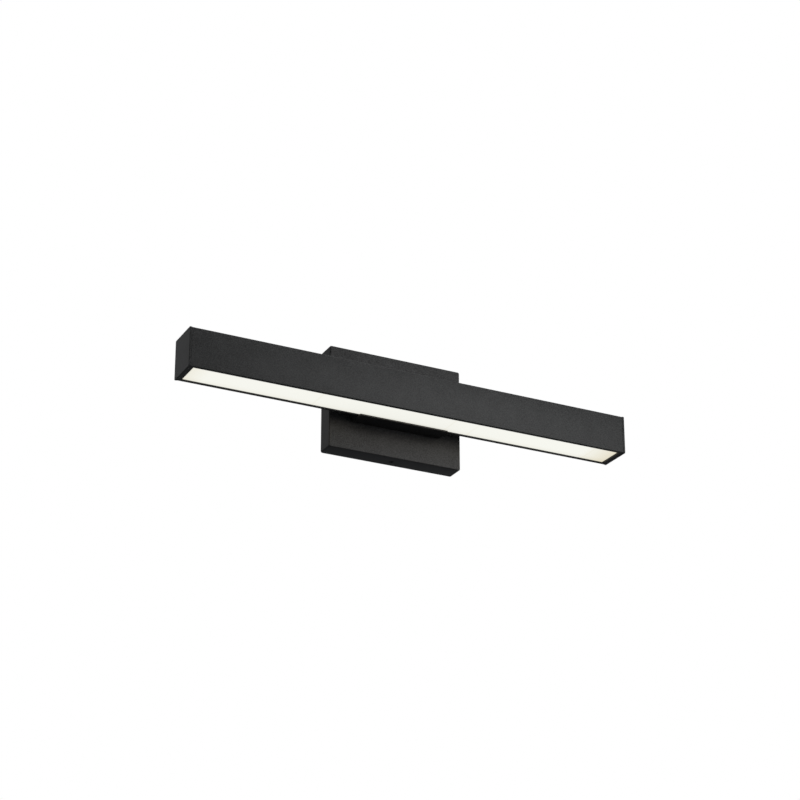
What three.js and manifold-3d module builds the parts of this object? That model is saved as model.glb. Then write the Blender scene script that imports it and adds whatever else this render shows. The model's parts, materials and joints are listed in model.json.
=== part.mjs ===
// A straight LED vanity light bar: an extruded bar with a frosted underside, carried off
// a wall canopy by a folded saddle. Millimetres, +Z up, +X along the bar, -Y out of the wall.
// The origin is the middle of the wall plate's back face, where the light meets the wall.

import * as THREE from 'three';
import { mergeVertices } from 'three/addons/utils/BufferGeometryUtils.js';
import Module from 'manifold-3d';

const wasm = await Module();
wasm.setup();

// ---------------------------------------------------------------------------
// Driving dimensions
// ---------------------------------------------------------------------------

// Clearances
const fitGap = 0.3; // round or sliding fit, on each side
const seatGap = 0.1; // between two faces that are clamped together
const snapGap = 0.4; // around the diffuser's snap ribs

// Bar housing, an aluminium extrusion that is open underneath
const barLength = 610;
const barDepth = 47.5;
const barHeight = 51;
const barDrop = 3; // the bar's centre sits this far below the canopy's
const housingWall = 1.8;
const housingEdgeRadius = 0.8;
const rimWidth = 4; // thick foot of the front and back walls, beside the diffuser
const rimHeight = 9;
const snapGrooveHeight = 1.8;
const snapGrooveDepth = 1.2;
const snapGrooveRise = 4.6; // bottom of the groove above the bar's underside

// End caps
const capThickness = 3;
const capProud = 0.4; // the caps stand this far proud of the housing
const capEdgeRadius = 0.5;
const sillLength = 4.5; // part of the cap that closes the underside's end
const sillHeight = 7;
const lugLength = 8;
const lugDepth = 7;
const lugHeight = 6;

// Diffuser
const diffuserThickness = 2;
const diffuserRecess = 0.4; // above the bar's underside
const diffuserEndGap = 1.2;
const diffuserLegHeight = 6.2;
const diffuserLegThickness = 1.2;

// LED tray and the grooves that hold it
const trayThickness = 1.5;
const trayRise = 18.5; // tray's underside above the bar's underside
const trayGrooveDepth = 2.4;
const ribReach = 3;
const ribThickness = 1.5;
const trayEndGap = 0.8;

// LED boards
const boardEndMargin = 15; // from the housing's end to the board
const boardWidth = 20;
const boardThickness = 1.6;
const boardSpacing = 6; // gap between the two boards at the bar's middle
const chipLength = 3.5;
const chipWidth = 2.8;
const chipHeight = 0.8;
const chipPitch = 12;
const chipEndMargin = 16; // least distance from a board's end to the first chip
const boardScrewInset = 10.5;
const boardScrewRadius = 1.25;
const boardScrewHeadRadius = 2.6;
const boardScrewHeadHeight = 1.6;
const boardScrewLength = 3;
const linkReach = 4; // how far the link between the boards laps onto each
const linkWidth = 6;
const linkHeight = 2.4;
const linkY = 6;
const socketLength = 6;
const socketWidth = 5;
const socketHeight = 3.6;
const socketInset = 0.6;
const grommetFlange = 1.4;
const grommetWall = 1.9;
const ledLeadHoleGap = 6.5; // board's end to the lead hole in the tray

// Driver, the power supply on top of the tray
const driverLength = 150;
const driverFrontGap = 3; // driver to the housing's front wall
const driverBackGap = 8.9; // driver to the housing's back wall, clear of the screws there
const driverHeadroom = 3; // lid to the housing's roof
const driverWall = 1.5;
const driverStart = 62; // near end of the driver, from the bar's middle
const driverLidThickness = 2;
const driverLidLip = 2.5;
const driverFootLength = 9;
const driverFootDepth = 14;
const driverFootThickness = 2;
const driverScrewRadius = 1.5;
const driverScrewHeadRadius = 3;
const driverScrewHeadHeight = 2;
const driverScrewLength = 3.4;
const driverBoardThickness = 1.6;
const driverBoardRise = 3;
const driverPegSize = 4;
const driverLeadDrop = 7; // lead entries below the top of the driver's base
const driverPartClearance = 1; // tallest part to the lid's lip

// Saddle, the folded bracket between the canopy and the bar
const armGap = 15.3; // from the canopy's face to the bar's back
const saddleWidth = 124;
const saddleThickness = 2;
const saddleLip = 10; // how far the saddle laps over and under the bar
const saddleCornerRadius = 1.5;

// Fixings through the saddle
const fixingRise = 8; // above the bar's centre
const fixingSpread = 40; // each side of the middle
const standoffAcrossFlats = 8;
const fixingRadius = 2;
const fixingHeadRadius = 4;
const fixingHeadHeight = 2.6;
const fixingGrip = 5; // length of screw in the standoff

// Hollow nipple that carries the lead
const nippleRadius = 5;
const nippleBore = 3.6;
const nippleStickOut = 5.2; // past each wall that it clamps
const nippleNutAcrossFlats = 14;
const nippleNutThickness = 3;
const bushingFlangeThickness = 1;
const bushingFlangeRadius = 4.8;
const bushingSpigotLength = 4;

// Canopy
const canopyWidth = 186;
const canopyHeight = 138;
const canopyDepth = 25.4;
const canopyWall = 1.2;
const canopyCornerRadius = 2.4;
const canopyEdgeRadius = 1.4;
const wallShadowGap = 0.4; // canopy's back edge off the wall

// Lock screw, a socket set screw, and its clinch nut in the canopy's bottom wall
const lockScrewRadius = 2;
const lockScrewSunk = 0.3; // screw's end above the canopy's underside
const lockScrewSocket = 2; // across the socket's flats
const lockScrewSocketDepth = 2.4;
const lockScrewReach = 7.2; // from the canopy's inner bottom face to the screw's tip
const lockNutRadius = 3;
const lockNutFlangeRadius = 4.4;
const lockNutFlangeThickness = 0.8;
const lockNutHeight = 5.6;

// Cross recess of the pan-head screws
const recessWidth = 0.9;
const recessSpan = 4;
const recessDepth = 1.3;

// Wall plate
const plateSideGap = 16.8; // plate's edge to the canopy's side wall
const plateThickness = 1.6;
const plateFlangeDepth = 18;
const plateCornerRadius = 3;
const wiringWindowWidth = 26;
const wiringWindowHeight = 44;
const plateSpineWidth = 12;
const boxScrewSpacing = 88.9; // junction box ears, outer of the two standard spacings
const boxSlotLength = 14;
const boxSlotWidth = 5;
const groundTabSize = 12;
const groundTabInset = 15; // from the plate's left edge
const groundTabZ = 40;
const groundScrewRadius = 1.75;
const groundScrewHeadAcrossFlats = 7;
const groundScrewHeadHeight = 2.6;
const groundWasherRadius = 4.6;
const groundWasherThickness = 0.8;
const groundScrewLength = 6;

// Terminal block on a stud inside the canopy
const terminalSideGap = 11.8; // block's foot to the canopy's side wall
const terminalZ = -22;
const terminalLength = 34;
const terminalDepth = 12;
const terminalHeight = 16;
const terminalPoles = 3;
const terminalBore = 2;
const terminalFootLength = 11;
const terminalFootThickness = 3;
const studRadius = 1.5;
const studLength = 7;
const studNutAcrossFlats = 5.5;
const studNutThickness = 2.4;

// Leads
const supplyLeadRadius = 2.25;
const ledLeadRadius = 1.5;
const leadQuarterSteps = 2; // sides in a quarter of a lead's section
const leadInsideDriver = 5; // length of lead past the driver's end wall

// Smoothness of round pieces
const roundSides = 24;
const screwSides = 16;
const cornerSteps = 4;

// ---------------------------------------------------------------------------
// Derived positions
// ---------------------------------------------------------------------------

const canopyFace = -canopyDepth;
const barBackY = canopyFace - armGap;
const barCentreY = barBackY - barDepth / 2;
const barCentreZ = -barDrop;
const fixingZ = barCentreZ + fixingRise;
const halfBar = barLength / 2;
const housingLength = barLength - 2 * capThickness - 2 * seatGap;
const boardLength = (housingLength - boardSpacing) / 2 - boardEndMargin;
const underside = -barHeight / 2; // in the bar's own frame, as are the next ones
const trayBottom = underside + trayRise;
const trayTop = trayBottom + trayThickness;
const innerHalfDepth = barDepth / 2 - housingWall;
const boardTop = trayBottom - seatGap;
const boardBottom = boardTop - boardThickness;
const diffuserHalfWidth = barDepth / 2 - rimWidth - fitGap;
const tipGap = fitGap; // lock screw's tip to the wall plate's flange
const canopyInnerHalfHeight = canopyHeight / 2 - canopyWall;
const canopyInnerHalfWidth = canopyWidth / 2 - canopyWall;
const plateWidth = 2 * (canopyInnerHalfWidth - plateSideGap);
const groundTabX = -plateWidth / 2 + groundTabInset;
const terminalX = -canopyInnerHalfWidth + terminalSideGap + terminalFootLength + terminalLength / 2;
const plateTop = canopyInnerHalfHeight - fitGap;
const plateBottom = -canopyInnerHalfHeight + lockScrewReach + tipGap;

// ---------------------------------------------------------------------------
// Finishes
// ---------------------------------------------------------------------------

/** A finish: colour, roughness and metalness of one real material. */
function finish(color, roughness, metalness) {
  return new THREE.MeshStandardMaterial({ color, roughness, metalness });
}

const blackPowderCoat = finish('#2b2c2c', 0.62, 0);
const frostedAcrylic = finish('#f5f5ee', 0.5, 0);
const whiteSheet = finish('#e9e8e2', 0.55, 0.1);
const boardWhite = finish('#eceae0', 0.45, 0);
const zincSteel = finish('#a9abad', 0.35, 1);
const brass = finish('#b99a52', 0.35, 1);
const greenSteel = finish('#2f7d4a', 0.4, 0.6);
const whiteNylon = finish('#e3e1d8', 0.5, 0);
const blackNylon = finish('#1d1e1f', 0.55, 0);
const greyPlastic = finish('#c9cac6', 0.5, 0);
const greenBoard = finish('#2c5a3c', 0.4, 0);
const leadSheath = finish('#dcdbd5', 0.5, 0);

// ---------------------------------------------------------------------------
// Solids
// ---------------------------------------------------------------------------

/** A closed manifold solid from a geometry whose faces point out. */
function solid(geometry) {
  geometry.deleteAttribute('normal');
  geometry.deleteAttribute('uv');
  const merged = mergeVertices(geometry, 1e-4);
  const vertProperties = new Float32Array(merged.attributes.position.array);
  const triVerts = new Uint32Array(merged.index.array);
  return new wasm.Manifold(new wasm.Mesh({ numProp: 3, vertProperties, triVerts }));
}

/** The solid as a BufferGeometry. */
function toGeometry(body) {
  const { vertProperties, triVerts } = body.getMesh();
  const geometry = new THREE.BufferGeometry();
  geometry.setAttribute('position', new THREE.BufferAttribute(new Float32Array(vertProperties), 3));
  geometry.setIndex(new THREE.BufferAttribute(new Uint32Array(triVerts), 1));
  geometry.computeVertexNormals();
  return geometry;
}

/** A named piece, placed at (x, y, z) in its parent group. */
function piece(name, body, material, x = 0, y = 0, z = 0) {
  const mesh = new THREE.Mesh(toGeometry(body), material.clone());
  mesh.name = name;
  mesh.position.set(x, y, z);
  return mesh;
}

/** A box between two corners. */
function block(x0, y0, z0, x1, y1, z1) {
  const geometry = new THREE.BoxGeometry(x1 - x0, y1 - y0, z1 - z0);
  geometry.translate((x0 + x1) / 2, (y0 + y1) / 2, (z0 + z1) / 2);
  return solid(geometry);
}

// Turns that take a shape's own X, Y and extrusion direction to the object's axes.
const alongX = new THREE.Matrix4().makeBasis(
  new THREE.Vector3(0, 1, 0),
  new THREE.Vector3(0, 0, 1),
  new THREE.Vector3(1, 0, 0),
);
const alongY = new THREE.Matrix4().makeBasis(
  new THREE.Vector3(0, 0, 1),
  new THREE.Vector3(1, 0, 0),
  new THREE.Vector3(0, 1, 0),
);
const alongZ = new THREE.Matrix4();

/** A flat outline carried `length` along an axis, from 0. */
function prism(shape, length, turn) {
  const geometry = new THREE.ExtrudeGeometry(shape, {
    depth: length,
    bevelEnabled: false,
    curveSegments: cornerSteps,
  });
  geometry.applyMatrix4(turn);
  return solid(geometry);
}

/** A round or many-sided rod from 0 to `length` along an axis. */
function rod(radius, length, turn, sides = roundSides) {
  const geometry = new THREE.CylinderGeometry(radius, radius, length, sides);
  geometry.rotateX(Math.PI / 2);
  geometry.translate(0, 0, length / 2);
  geometry.applyMatrix4(turn);
  return solid(geometry);
}

/** A hexagonal rod, given the distance across its flats. */
function hexRod(acrossFlats, length, turn) {
  return rod(acrossFlats / Math.sqrt(3), length, turn, 6);
}

/** A rectangle centred on the origin, with round corners. */
function roundedRectangle(width, height, radius) {
  const x = width / 2;
  const y = height / 2;
  const shape = new THREE.Shape();
  shape.moveTo(-x + radius, -y);
  shape.lineTo(x - radius, -y);
  shape.absarc(x - radius, -y + radius, radius, -Math.PI / 2, 0, false);
  shape.lineTo(x, y - radius);
  shape.absarc(x - radius, y - radius, radius, 0, Math.PI / 2, false);
  shape.lineTo(-x + radius, y);
  shape.absarc(-x + radius, y - radius, radius, Math.PI / 2, Math.PI, false);
  shape.lineTo(-x, -y + radius);
  shape.absarc(-x + radius, -y + radius, radius, Math.PI, 1.5 * Math.PI, false);
  return shape;
}

/** A slot with round ends, centred on the origin. */
function slotShape(width, height) {
  return roundedRectangle(width, height, Math.min(width, height) * 0.49);
}

/** A round tube along a smooth route. */
function lead(route, radius, steps) {
  const section = new THREE.Shape();
  section.absarc(0, 0, radius, 0, 2 * Math.PI, false);
  const curve = new THREE.CatmullRomCurve3(route, false, 'centripetal');
  const geometry = new THREE.ExtrudeGeometry(section, {
    steps,
    extrudePath: curve,
    bevelEnabled: false,
    curveSegments: 2 * leadQuarterSteps,
  });
  return solid(geometry);
}

/** A pan-head screw: head on the -Z side of the origin, shank up +Z from it. */
function panScrew(headRadius, headHeight, shankRadius, shankLength) {
  const profile = [
    new THREE.Vector2(0, -headHeight),
    new THREE.Vector2(headRadius * 0.7, -headHeight),
    new THREE.Vector2(headRadius * 0.93, -headHeight * 0.75),
    new THREE.Vector2(headRadius, -headHeight * 0.35),
    new THREE.Vector2(headRadius, 0),
    new THREE.Vector2(shankRadius, 0),
    new THREE.Vector2(shankRadius, shankLength - shankRadius * 0.3),
    new THREE.Vector2(shankRadius * 0.7, shankLength),
    new THREE.Vector2(0, shankLength),
  ];
  const geometry = new THREE.LatheGeometry(profile, screwSides);
  geometry.rotateX(Math.PI / 2);
  const width = recessWidth;
  const span = Math.min(recessSpan, headRadius * 1.1) / 2;
  const depth = Math.min(recessDepth, headHeight * 0.6);
  const floor = -headHeight + depth;
  const open = -headHeight - 1;
  const cross = block(-span, -width / 2, open, span, width / 2, floor)
    .add(block(-width / 2, -span, open, width / 2, span, floor));
  return solid(geometry).subtract(cross);
}

/** A body turned about an axis by a right angle or so. */
function turned(body, x, y, z) {
  return body.rotate([x, y, z]);
}

// ---------------------------------------------------------------------------
// Wall plate and its ground screw
// ---------------------------------------------------------------------------

/** Steel plate with a top and a bottom flange; the canopy sits on the top one. */
function wallPlate() {
  const height = plateTop - plateBottom;
  const middle = (plateTop + plateBottom) / 2;
  const outline = roundedRectangle(height, plateWidth, plateCornerRadius);
  const back = prism(outline, plateThickness, alongY).translate([0, -plateThickness, middle]);
  const half = plateWidth / 2 - plateCornerRadius;
  const top = block(-half, -plateFlangeDepth, plateTop - plateThickness, half, 0, plateTop);
  const bottom = block(-half, -plateFlangeDepth, plateBottom, half, 0, plateBottom + plateThickness);
  let plate = back.add(top).add(bottom);

  for (const side of [-1, 1]) {
    const centre = side * (plateSpineWidth + wiringWindowWidth) / 2;
    const window = prism(
      roundedRectangle(wiringWindowHeight, wiringWindowWidth, plateCornerRadius),
      3 * plateThickness,
      alongY,
    );
    plate = plate.subtract(window.translate([centre, -2 * plateThickness, 0]));
    const across = prism(slotShape(boxSlotWidth, boxSlotLength), 3 * plateThickness, alongY);
    plate = plate.subtract(across.translate([side * boxScrewSpacing / 2, -2 * plateThickness, 0]));
    const upright = prism(slotShape(boxSlotLength, boxSlotWidth), 3 * plateThickness, alongY);
    plate = plate.subtract(upright.translate([0, -2 * plateThickness, side * boxScrewSpacing / 2]));
  }

  const tabX = groundTabX + plateThickness;
  const lance = block(
    tabX, -2 * plateThickness, groundTabZ - groundTabSize / 2,
    tabX + groundTabSize, plateThickness, groundTabZ + groundTabSize / 2,
  );
  const tab = block(
    groundTabX, -groundTabSize - plateThickness, groundTabZ - groundTabSize / 2,
    tabX, 0, groundTabZ + groundTabSize / 2,
  );
  const tabHole = rod(groundScrewRadius + fitGap, 3 * plateThickness, alongX)
    .translate([groundTabX - plateThickness, -plateThickness - groundTabSize / 2, groundTabZ]);
  return plate.subtract(lance).add(tab).subtract(tabHole);
}

/** Hex washer-head screw, head at -X, through the lanced tab. */
function groundScrew() {
  const washer = rod(groundWasherRadius, groundWasherThickness, alongX)
    .translate([-groundWasherThickness, 0, 0]);
  const head = hexRod(groundScrewHeadAcrossFlats, groundScrewHeadHeight, alongX)
    .translate([-groundScrewHeadHeight - groundWasherThickness * 0.5, 0, 0]);
  const shank = rod(groundScrewRadius, groundScrewLength + groundWasherThickness, alongX)
    .translate([-groundWasherThickness * 0.5, 0, 0]);
  return washer.add(head).add(shank);
}

// ---------------------------------------------------------------------------
// Canopy and what is fixed to it
// ---------------------------------------------------------------------------

/** Pressed box, open at the back, with a weld stud for the terminal block. */
function canopy() {
  const width = canopyWidth - 2 * canopyEdgeRadius;
  const height = canopyHeight - 2 * canopyEdgeRadius;
  const outline = roundedRectangle(height, width, canopyCornerRadius - canopyEdgeRadius);
  const geometry = new THREE.ExtrudeGeometry(outline, {
    depth: canopyDepth,
    bevelEnabled: true,
    bevelThickness: canopyEdgeRadius,
    bevelSize: canopyEdgeRadius,
    bevelSegments: cornerSteps,
    curveSegments: cornerSteps,
  });
  geometry.applyMatrix4(alongY);
  geometry.translate(0, -canopyDepth + canopyEdgeRadius, 0);
  const keep = block(
    -canopyWidth, -canopyDepth - 1, -canopyHeight,
    canopyWidth, -wallShadowGap, canopyHeight,
  );
  const hollow = prism(
    roundedRectangle(
      canopyHeight - 2 * canopyWall,
      canopyWidth - 2 * canopyWall,
      canopyCornerRadius - canopyWall,
    ),
    canopyDepth,
    alongY,
  ).translate([0, -canopyDepth + canopyWall, 0]);
  let shell = solid(geometry).intersect(keep).subtract(hollow);

  const through = 3 * canopyWall;
  const start = canopyFace - canopyWall;
  const nippleHole = rod(nippleRadius + fitGap, through, alongY).translate([0, start, fixingZ]);
  shell = shell.subtract(nippleHole);
  for (const side of [-1, 1]) {
    const hole = rod(fixingRadius + fitGap, through, alongY);
    shell = shell.subtract(hole.translate([side * fixingSpread, start, fixingZ]));
  }
  const lockHole = rod(lockNutRadius + fitGap, through, alongZ)
    .translate([0, -canopyDepth / 2, -canopyHeight / 2 - canopyWall]);
  const stud = rod(studRadius, studLength + canopyWall / 2, alongY)
    .translate([terminalX + studOffset(), canopyFace + canopyWall / 2, terminalZ]);
  return shell.subtract(lockHole).add(stud);
}

/** Where the stud stands along X, from the terminal block's middle. */
function studOffset() {
  return -terminalLength / 2 - terminalFootLength / 2;
}

/** Clinch nut: a flanged barrel pressed into the canopy's bottom wall from inside. */
function lockNut() {
  const barrel = rod(lockNutRadius, canopyWall + lockNutHeight, alongZ)
    .translate([0, 0, -canopyWall]);
  const collar = rod(lockNutFlangeRadius, lockNutFlangeThickness, alongZ)
    .translate([0, 0, seatGap]);
  const bore = rod(lockScrewRadius + fitGap, 4 * lockNutHeight, alongZ)
    .translate([0, 0, -2 * lockNutHeight]);
  return barrel.add(collar).subtract(bore);
}

/** Set screw with a hexagonal socket at its lower end and a chamfered tip. */
function lockScrew() {
  const length = canopyWall + lockScrewReach - lockScrewSunk;
  const chamfer = lockScrewRadius * 0.35;
  const profile = [
    new THREE.Vector2(0, 0),
    new THREE.Vector2(lockScrewRadius - chamfer / 2, 0),
    new THREE.Vector2(lockScrewRadius, chamfer / 2),
    new THREE.Vector2(lockScrewRadius, length - chamfer),
    new THREE.Vector2(lockScrewRadius - chamfer, length),
    new THREE.Vector2(0, length),
  ];
  const geometry = new THREE.LatheGeometry(profile, roundSides);
  geometry.rotateX(Math.PI / 2);
  const socket = hexRod(lockScrewSocket, 2 * lockScrewSocketDepth, alongZ)
    .translate([0, 0, -lockScrewSocketDepth]);
  return solid(geometry).subtract(socket);
}

/** Terminal block: a moulded body with one way through per pole and a foot with a hole. */
function terminalBlock() {
  const depth = terminalDepth;
  const halfLength = terminalLength / 2;
  const halfHeight = terminalHeight / 2;
  let body = block(-halfLength, 0, -halfHeight, halfLength, depth, halfHeight);
  body = body.add(block(
    -halfLength - terminalFootLength, 0, -halfHeight * 0.7,
    -halfLength + 1, terminalFootThickness, halfHeight * 0.7,
  ));
  const pitch = terminalLength / terminalPoles;
  for (let pole = 0; pole < terminalPoles; pole += 1) {
    const x = (pole - (terminalPoles - 1) / 2) * pitch;
    const way = rod(terminalBore, terminalHeight * 2, alongZ).translate([x, depth * 0.45, -terminalHeight]);
    const mouth = rod(terminalBore * 1.2, depth, alongY).translate([x, depth * 0.62, 0]);
    body = body.subtract(way).subtract(mouth);
  }
  for (let edge = 1; edge < terminalPoles; edge += 1) {
    const x = (edge - terminalPoles / 2) * pitch;
    body = body.subtract(block(x - 0.5, depth * 0.7, -terminalHeight, x + 0.5, depth * 2, terminalHeight));
  }
  const hole = rod(studRadius + fitGap, terminalFootThickness * 4, alongY)
    .translate([studOffset(), -terminalFootThickness, 0]);
  return body.subtract(hole);
}

// ---------------------------------------------------------------------------
// Saddle, standoffs, screws and nipple
// ---------------------------------------------------------------------------

/** Folded bracket: a back, four sides, and lips that lap over and under the bar. */
function saddle() {
  const halfWidth = saddleWidth / 2;
  const halfHeight = barHeight / 2 + fitGap + saddleThickness;
  const reach = armGap + saddleLip;
  const lip = roundedRectangle(saddleWidth, reach + saddleCornerRadius, saddleCornerRadius);
  const lipPlate = prism(lip, saddleThickness, alongZ)
    .translate([0, -(reach - saddleCornerRadius) / 2, 0])
    .intersect(block(-saddleWidth, -2 * reach, -saddleThickness, saddleWidth, 0, 2 * saddleThickness));
  let body = block(-halfWidth, -saddleThickness, -halfHeight, halfWidth, 0, halfHeight);
  body = body.add(lipPlate.translate([0, 0, -halfHeight]));
  body = body.add(lipPlate.translate([0, 0, halfHeight - saddleThickness]));
  for (const side of [-1, 1]) {
    const outer = side * halfWidth;
    const inner = side * (halfWidth - saddleThickness);
    body = body.add(block(
      Math.min(outer, inner), -armGap + fitGap, -halfHeight,
      Math.max(outer, inner), 0, halfHeight,
    ));
  }
  const through = 3 * saddleThickness;
  const nippleHole = rod(nippleRadius + fitGap, through, alongY);
  body = body.subtract(nippleHole.translate([0, -2 * saddleThickness, fixingRise]));
  for (const side of [-1, 1]) {
    const hole = rod(fixingRadius + fitGap, through, alongY);
    body = body.subtract(hole.translate([side * fixingSpread, -2 * saddleThickness, fixingRise]));
  }
  return body;
}

const standoffLength = armGap - saddleThickness - 3 * seatGap;

/** Hexagonal standoff, bored through. */
function standoff() {
  const bore = rod(fixingRadius + fitGap, 3 * standoffLength, alongY)
    .translate([0, -standoffLength, 0]);
  return hexRod(standoffAcrossFlats, standoffLength, alongY).subtract(bore);
}

const nippleBack = canopyFace + canopyWall + nippleStickOut;
const nippleFront = barBackY - housingWall - nippleStickOut;

/** Hollow threaded tube from inside the canopy to inside the bar. */
function nipple() {
  const length = nippleBack - nippleFront;
  const bore = rod(nippleBore, 3 * length, alongY).translate([0, -length, 0]);
  return rod(nippleRadius, length, alongY).subtract(bore);
}

/** Thin hexagonal nut for the nipple. */
function nippleNut() {
  const bore = rod(nippleRadius + fitGap, 3 * nippleNutThickness, alongY)
    .translate([0, -nippleNutThickness, 0]);
  return hexRod(nippleNutAcrossFlats, nippleNutThickness, alongY).subtract(bore);
}

/** Plastic bushing in a nipple end, its flange on the +Y side of the origin. */
function bushing() {
  const collar = rod(bushingFlangeRadius, bushingFlangeThickness, alongY);
  const spigot = rod(nippleBore - fitGap, bushingSpigotLength + bushingFlangeThickness / 2, alongY)
    .translate([0, -bushingSpigotLength, 0]);
  const bore = rod(supplyLeadRadius + fitGap, 6 * bushingSpigotLength, alongY)
    .translate([0, -3 * bushingSpigotLength, 0]);
  return collar.add(spigot).subtract(bore);
}

// ---------------------------------------------------------------------------
// Bar: housing, end caps and diffuser
// ---------------------------------------------------------------------------

/** One wall's inner outline, from the rim at the underside up to the roof, for the +Y side. */
function innerWallPoints() {
  const rim = barDepth / 2 - rimWidth;
  const groove = underside + snapGrooveRise;
  const lowRib = trayBottom - fitGap;
  const highRib = trayTop + fitGap;
  return [
    [rim, underside],
    [rim, groove],
    [rim + snapGrooveDepth, groove],
    [rim + snapGrooveDepth, groove + snapGrooveHeight],
    [rim, groove + snapGrooveHeight],
    [rim, underside + rimHeight],
    [innerHalfDepth, underside + rimHeight],
    [innerHalfDepth, lowRib - ribThickness],
    [innerHalfDepth - ribReach, lowRib - ribThickness],
    [innerHalfDepth - ribReach, lowRib],
    [innerHalfDepth, lowRib],
    [innerHalfDepth, highRib],
    [innerHalfDepth - ribReach, highRib],
    [innerHalfDepth - ribReach, highRib + ribThickness],
    [innerHalfDepth, highRib + ribThickness],
    [innerHalfDepth, barHeight / 2 - housingWall],
  ];
}

/** The extrusion's section: outer box with small round edges, open underneath. */
function housingSection() {
  const y = barDepth / 2;
  const z = barHeight / 2;
  const r = housingEdgeRadius;
  const shape = new THREE.Shape();
  shape.moveTo(-y, -z + r);
  shape.lineTo(-y, z - r);
  shape.absarc(-y + r, z - r, r, Math.PI, Math.PI / 2, true);
  shape.lineTo(y - r, z);
  shape.absarc(y - r, z - r, r, Math.PI / 2, 0, true);
  shape.lineTo(y, -z + r);
  shape.absarc(y - r, -z + r, r, 0, -Math.PI / 2, true);
  const inner = innerWallPoints();
  inner.forEach(([py, pz]) => shape.lineTo(py, pz));
  [...inner].reverse().forEach(([py, pz]) => shape.lineTo(-py, pz));
  shape.lineTo(-y + r, -z);
  shape.absarc(-y + r, -z + r, r, -Math.PI / 2, -Math.PI, true);
  return shape;
}

/** Aluminium housing with the nipple and fixing holes in its back wall. */
function housing() {
  let body = prism(housingSection(), housingLength, alongX).translate([-housingLength / 2, 0, 0]);
  const through = 3 * housingWall;
  const start = barDepth / 2 - 2 * housingWall;
  body = body.subtract(rod(nippleRadius + fitGap, through, alongY).translate([0, start, fixingRise]));
  for (const side of [-1, 1]) {
    const hole = rod(fixingRadius + fitGap, through, alongY);
    body = body.subtract(hole.translate([side * fixingSpread, start, fixingRise]));
  }
  return body;
}

/** End cap, built for the +X end: plate, sill across the underside, two lugs at the roof. */
function endCap() {
  const depth = barDepth + 2 * capProud;
  const height = barHeight + 2 * capProud;
  const bevel = capEdgeRadius;
  const outline = roundedRectangle(depth - 2 * bevel, height - 2 * bevel, housingEdgeRadius);
  const geometry = new THREE.ExtrudeGeometry(outline, {
    depth: capThickness,
    bevelEnabled: true,
    bevelThickness: bevel,
    bevelSize: bevel,
    bevelSegments: 3,
    curveSegments: cornerSteps,
  });
  geometry.applyMatrix4(alongX);
  geometry.translate(halfBar - capThickness - bevel, 0, 0);
  const keep = block(halfBar - capThickness, -depth, -height, halfBar + 1, depth, height);
  let cap = solid(geometry).intersect(keep);

  const joint = halfBar - capThickness + 1;
  const sillHalf = barDepth / 2 - rimWidth - fitGap;
  const face = halfBar - capThickness;
  cap = cap.add(block(face - sillLength, -sillHalf, underside, joint, sillHalf, underside + sillHeight));
  const lugTop = barHeight / 2 - housingWall - fitGap;
  for (const side of [-1, 1]) {
    const outer = side * (innerHalfDepth - fitGap);
    const inner = outer - side * lugDepth;
    cap = cap.add(block(
      face - lugLength, Math.min(outer, inner), lugTop - lugHeight,
      joint, Math.max(outer, inner), lugTop,
    ));
  }
  return cap;
}

/** Frosted cover: a flat strip with a snap leg along each side. */
function diffuser() {
  const low = underside + diffuserRecess;
  const high = low + diffuserThickness;
  const edge = diffuserHalfWidth;
  const legTop = low + diffuserLegHeight;
  const barbLow = underside + snapGrooveRise + snapGap;
  const barbHigh = barbLow + snapGrooveHeight - 2 * snapGap;
  const barb = edge + fitGap + snapGrooveDepth - snapGap;
  const side = [
    [edge, low],
    [edge, barbLow],
    [barb, barbLow],
    [edge, barbHigh],
    [edge, legTop],
    [edge - diffuserLegThickness, legTop],
    [edge - diffuserLegThickness, high],
  ];
  const shape = new THREE.Shape();
  shape.moveTo(side[0][0], side[0][1]);
  side.slice(1).forEach(([y, z]) => shape.lineTo(y, z));
  [...side].reverse().forEach(([y, z]) => shape.lineTo(-y, z));
  const length = barLength - 2 * (capThickness + sillLength + diffuserEndGap);
  return prism(shape, length, alongX).translate([-length / 2, 0, 0]);
}

// ---------------------------------------------------------------------------
// Tray, LED boards and driver, in the bar's frame
// ---------------------------------------------------------------------------

const trayLength = housingLength - 2 * trayEndGap;
const boardCentre = (boardSpacing + boardLength) / 2;
const boardScrewPlaces = [-1, 1].map((end) => end * (boardLength / 2 - boardScrewInset));
const driverFootEnds = [driverStart - driverFootLength / 2, driverStart + driverLength + driverFootLength / 2];
const driverDepth = 2 * innerHalfDepth - driverFrontGap - driverBackGap;
const driverY = -innerHalfDepth + driverFrontGap + driverDepth / 2;
const ledLeadHoleX = boardCentre + boardLength / 2 + ledLeadHoleGap;
const ledLeadHoleRadius = ledLeadRadius + grommetWall + fitGap;

/** Tray: flat strip that slides into the housing's grooves, tapped for boards and driver. */
function ledTray() {
  const half = innerHalfDepth - ribReach + trayGrooveDepth;
  let body = block(-trayLength / 2, -half, trayBottom, trayLength / 2, half, trayTop);
  const through = 3 * trayThickness;
  const low = trayBottom - trayThickness;
  for (const side of [-1, 1]) {
    for (const place of boardScrewPlaces) {
      const hole = rod(boardScrewRadius + fitGap, through, alongZ);
      body = body.subtract(hole.translate([side * boardCentre + place, 0, low]));
    }
  }
  for (const x of driverFootEnds) {
    const hole = rod(driverScrewRadius + fitGap, through, alongZ);
    body = body.subtract(hole.translate([x, driverY, low]));
  }
  const leadHole = rod(ledLeadHoleRadius, through, alongZ).translate([ledLeadHoleX, 0, low]);
  return body.subtract(leadHole);
}

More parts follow.
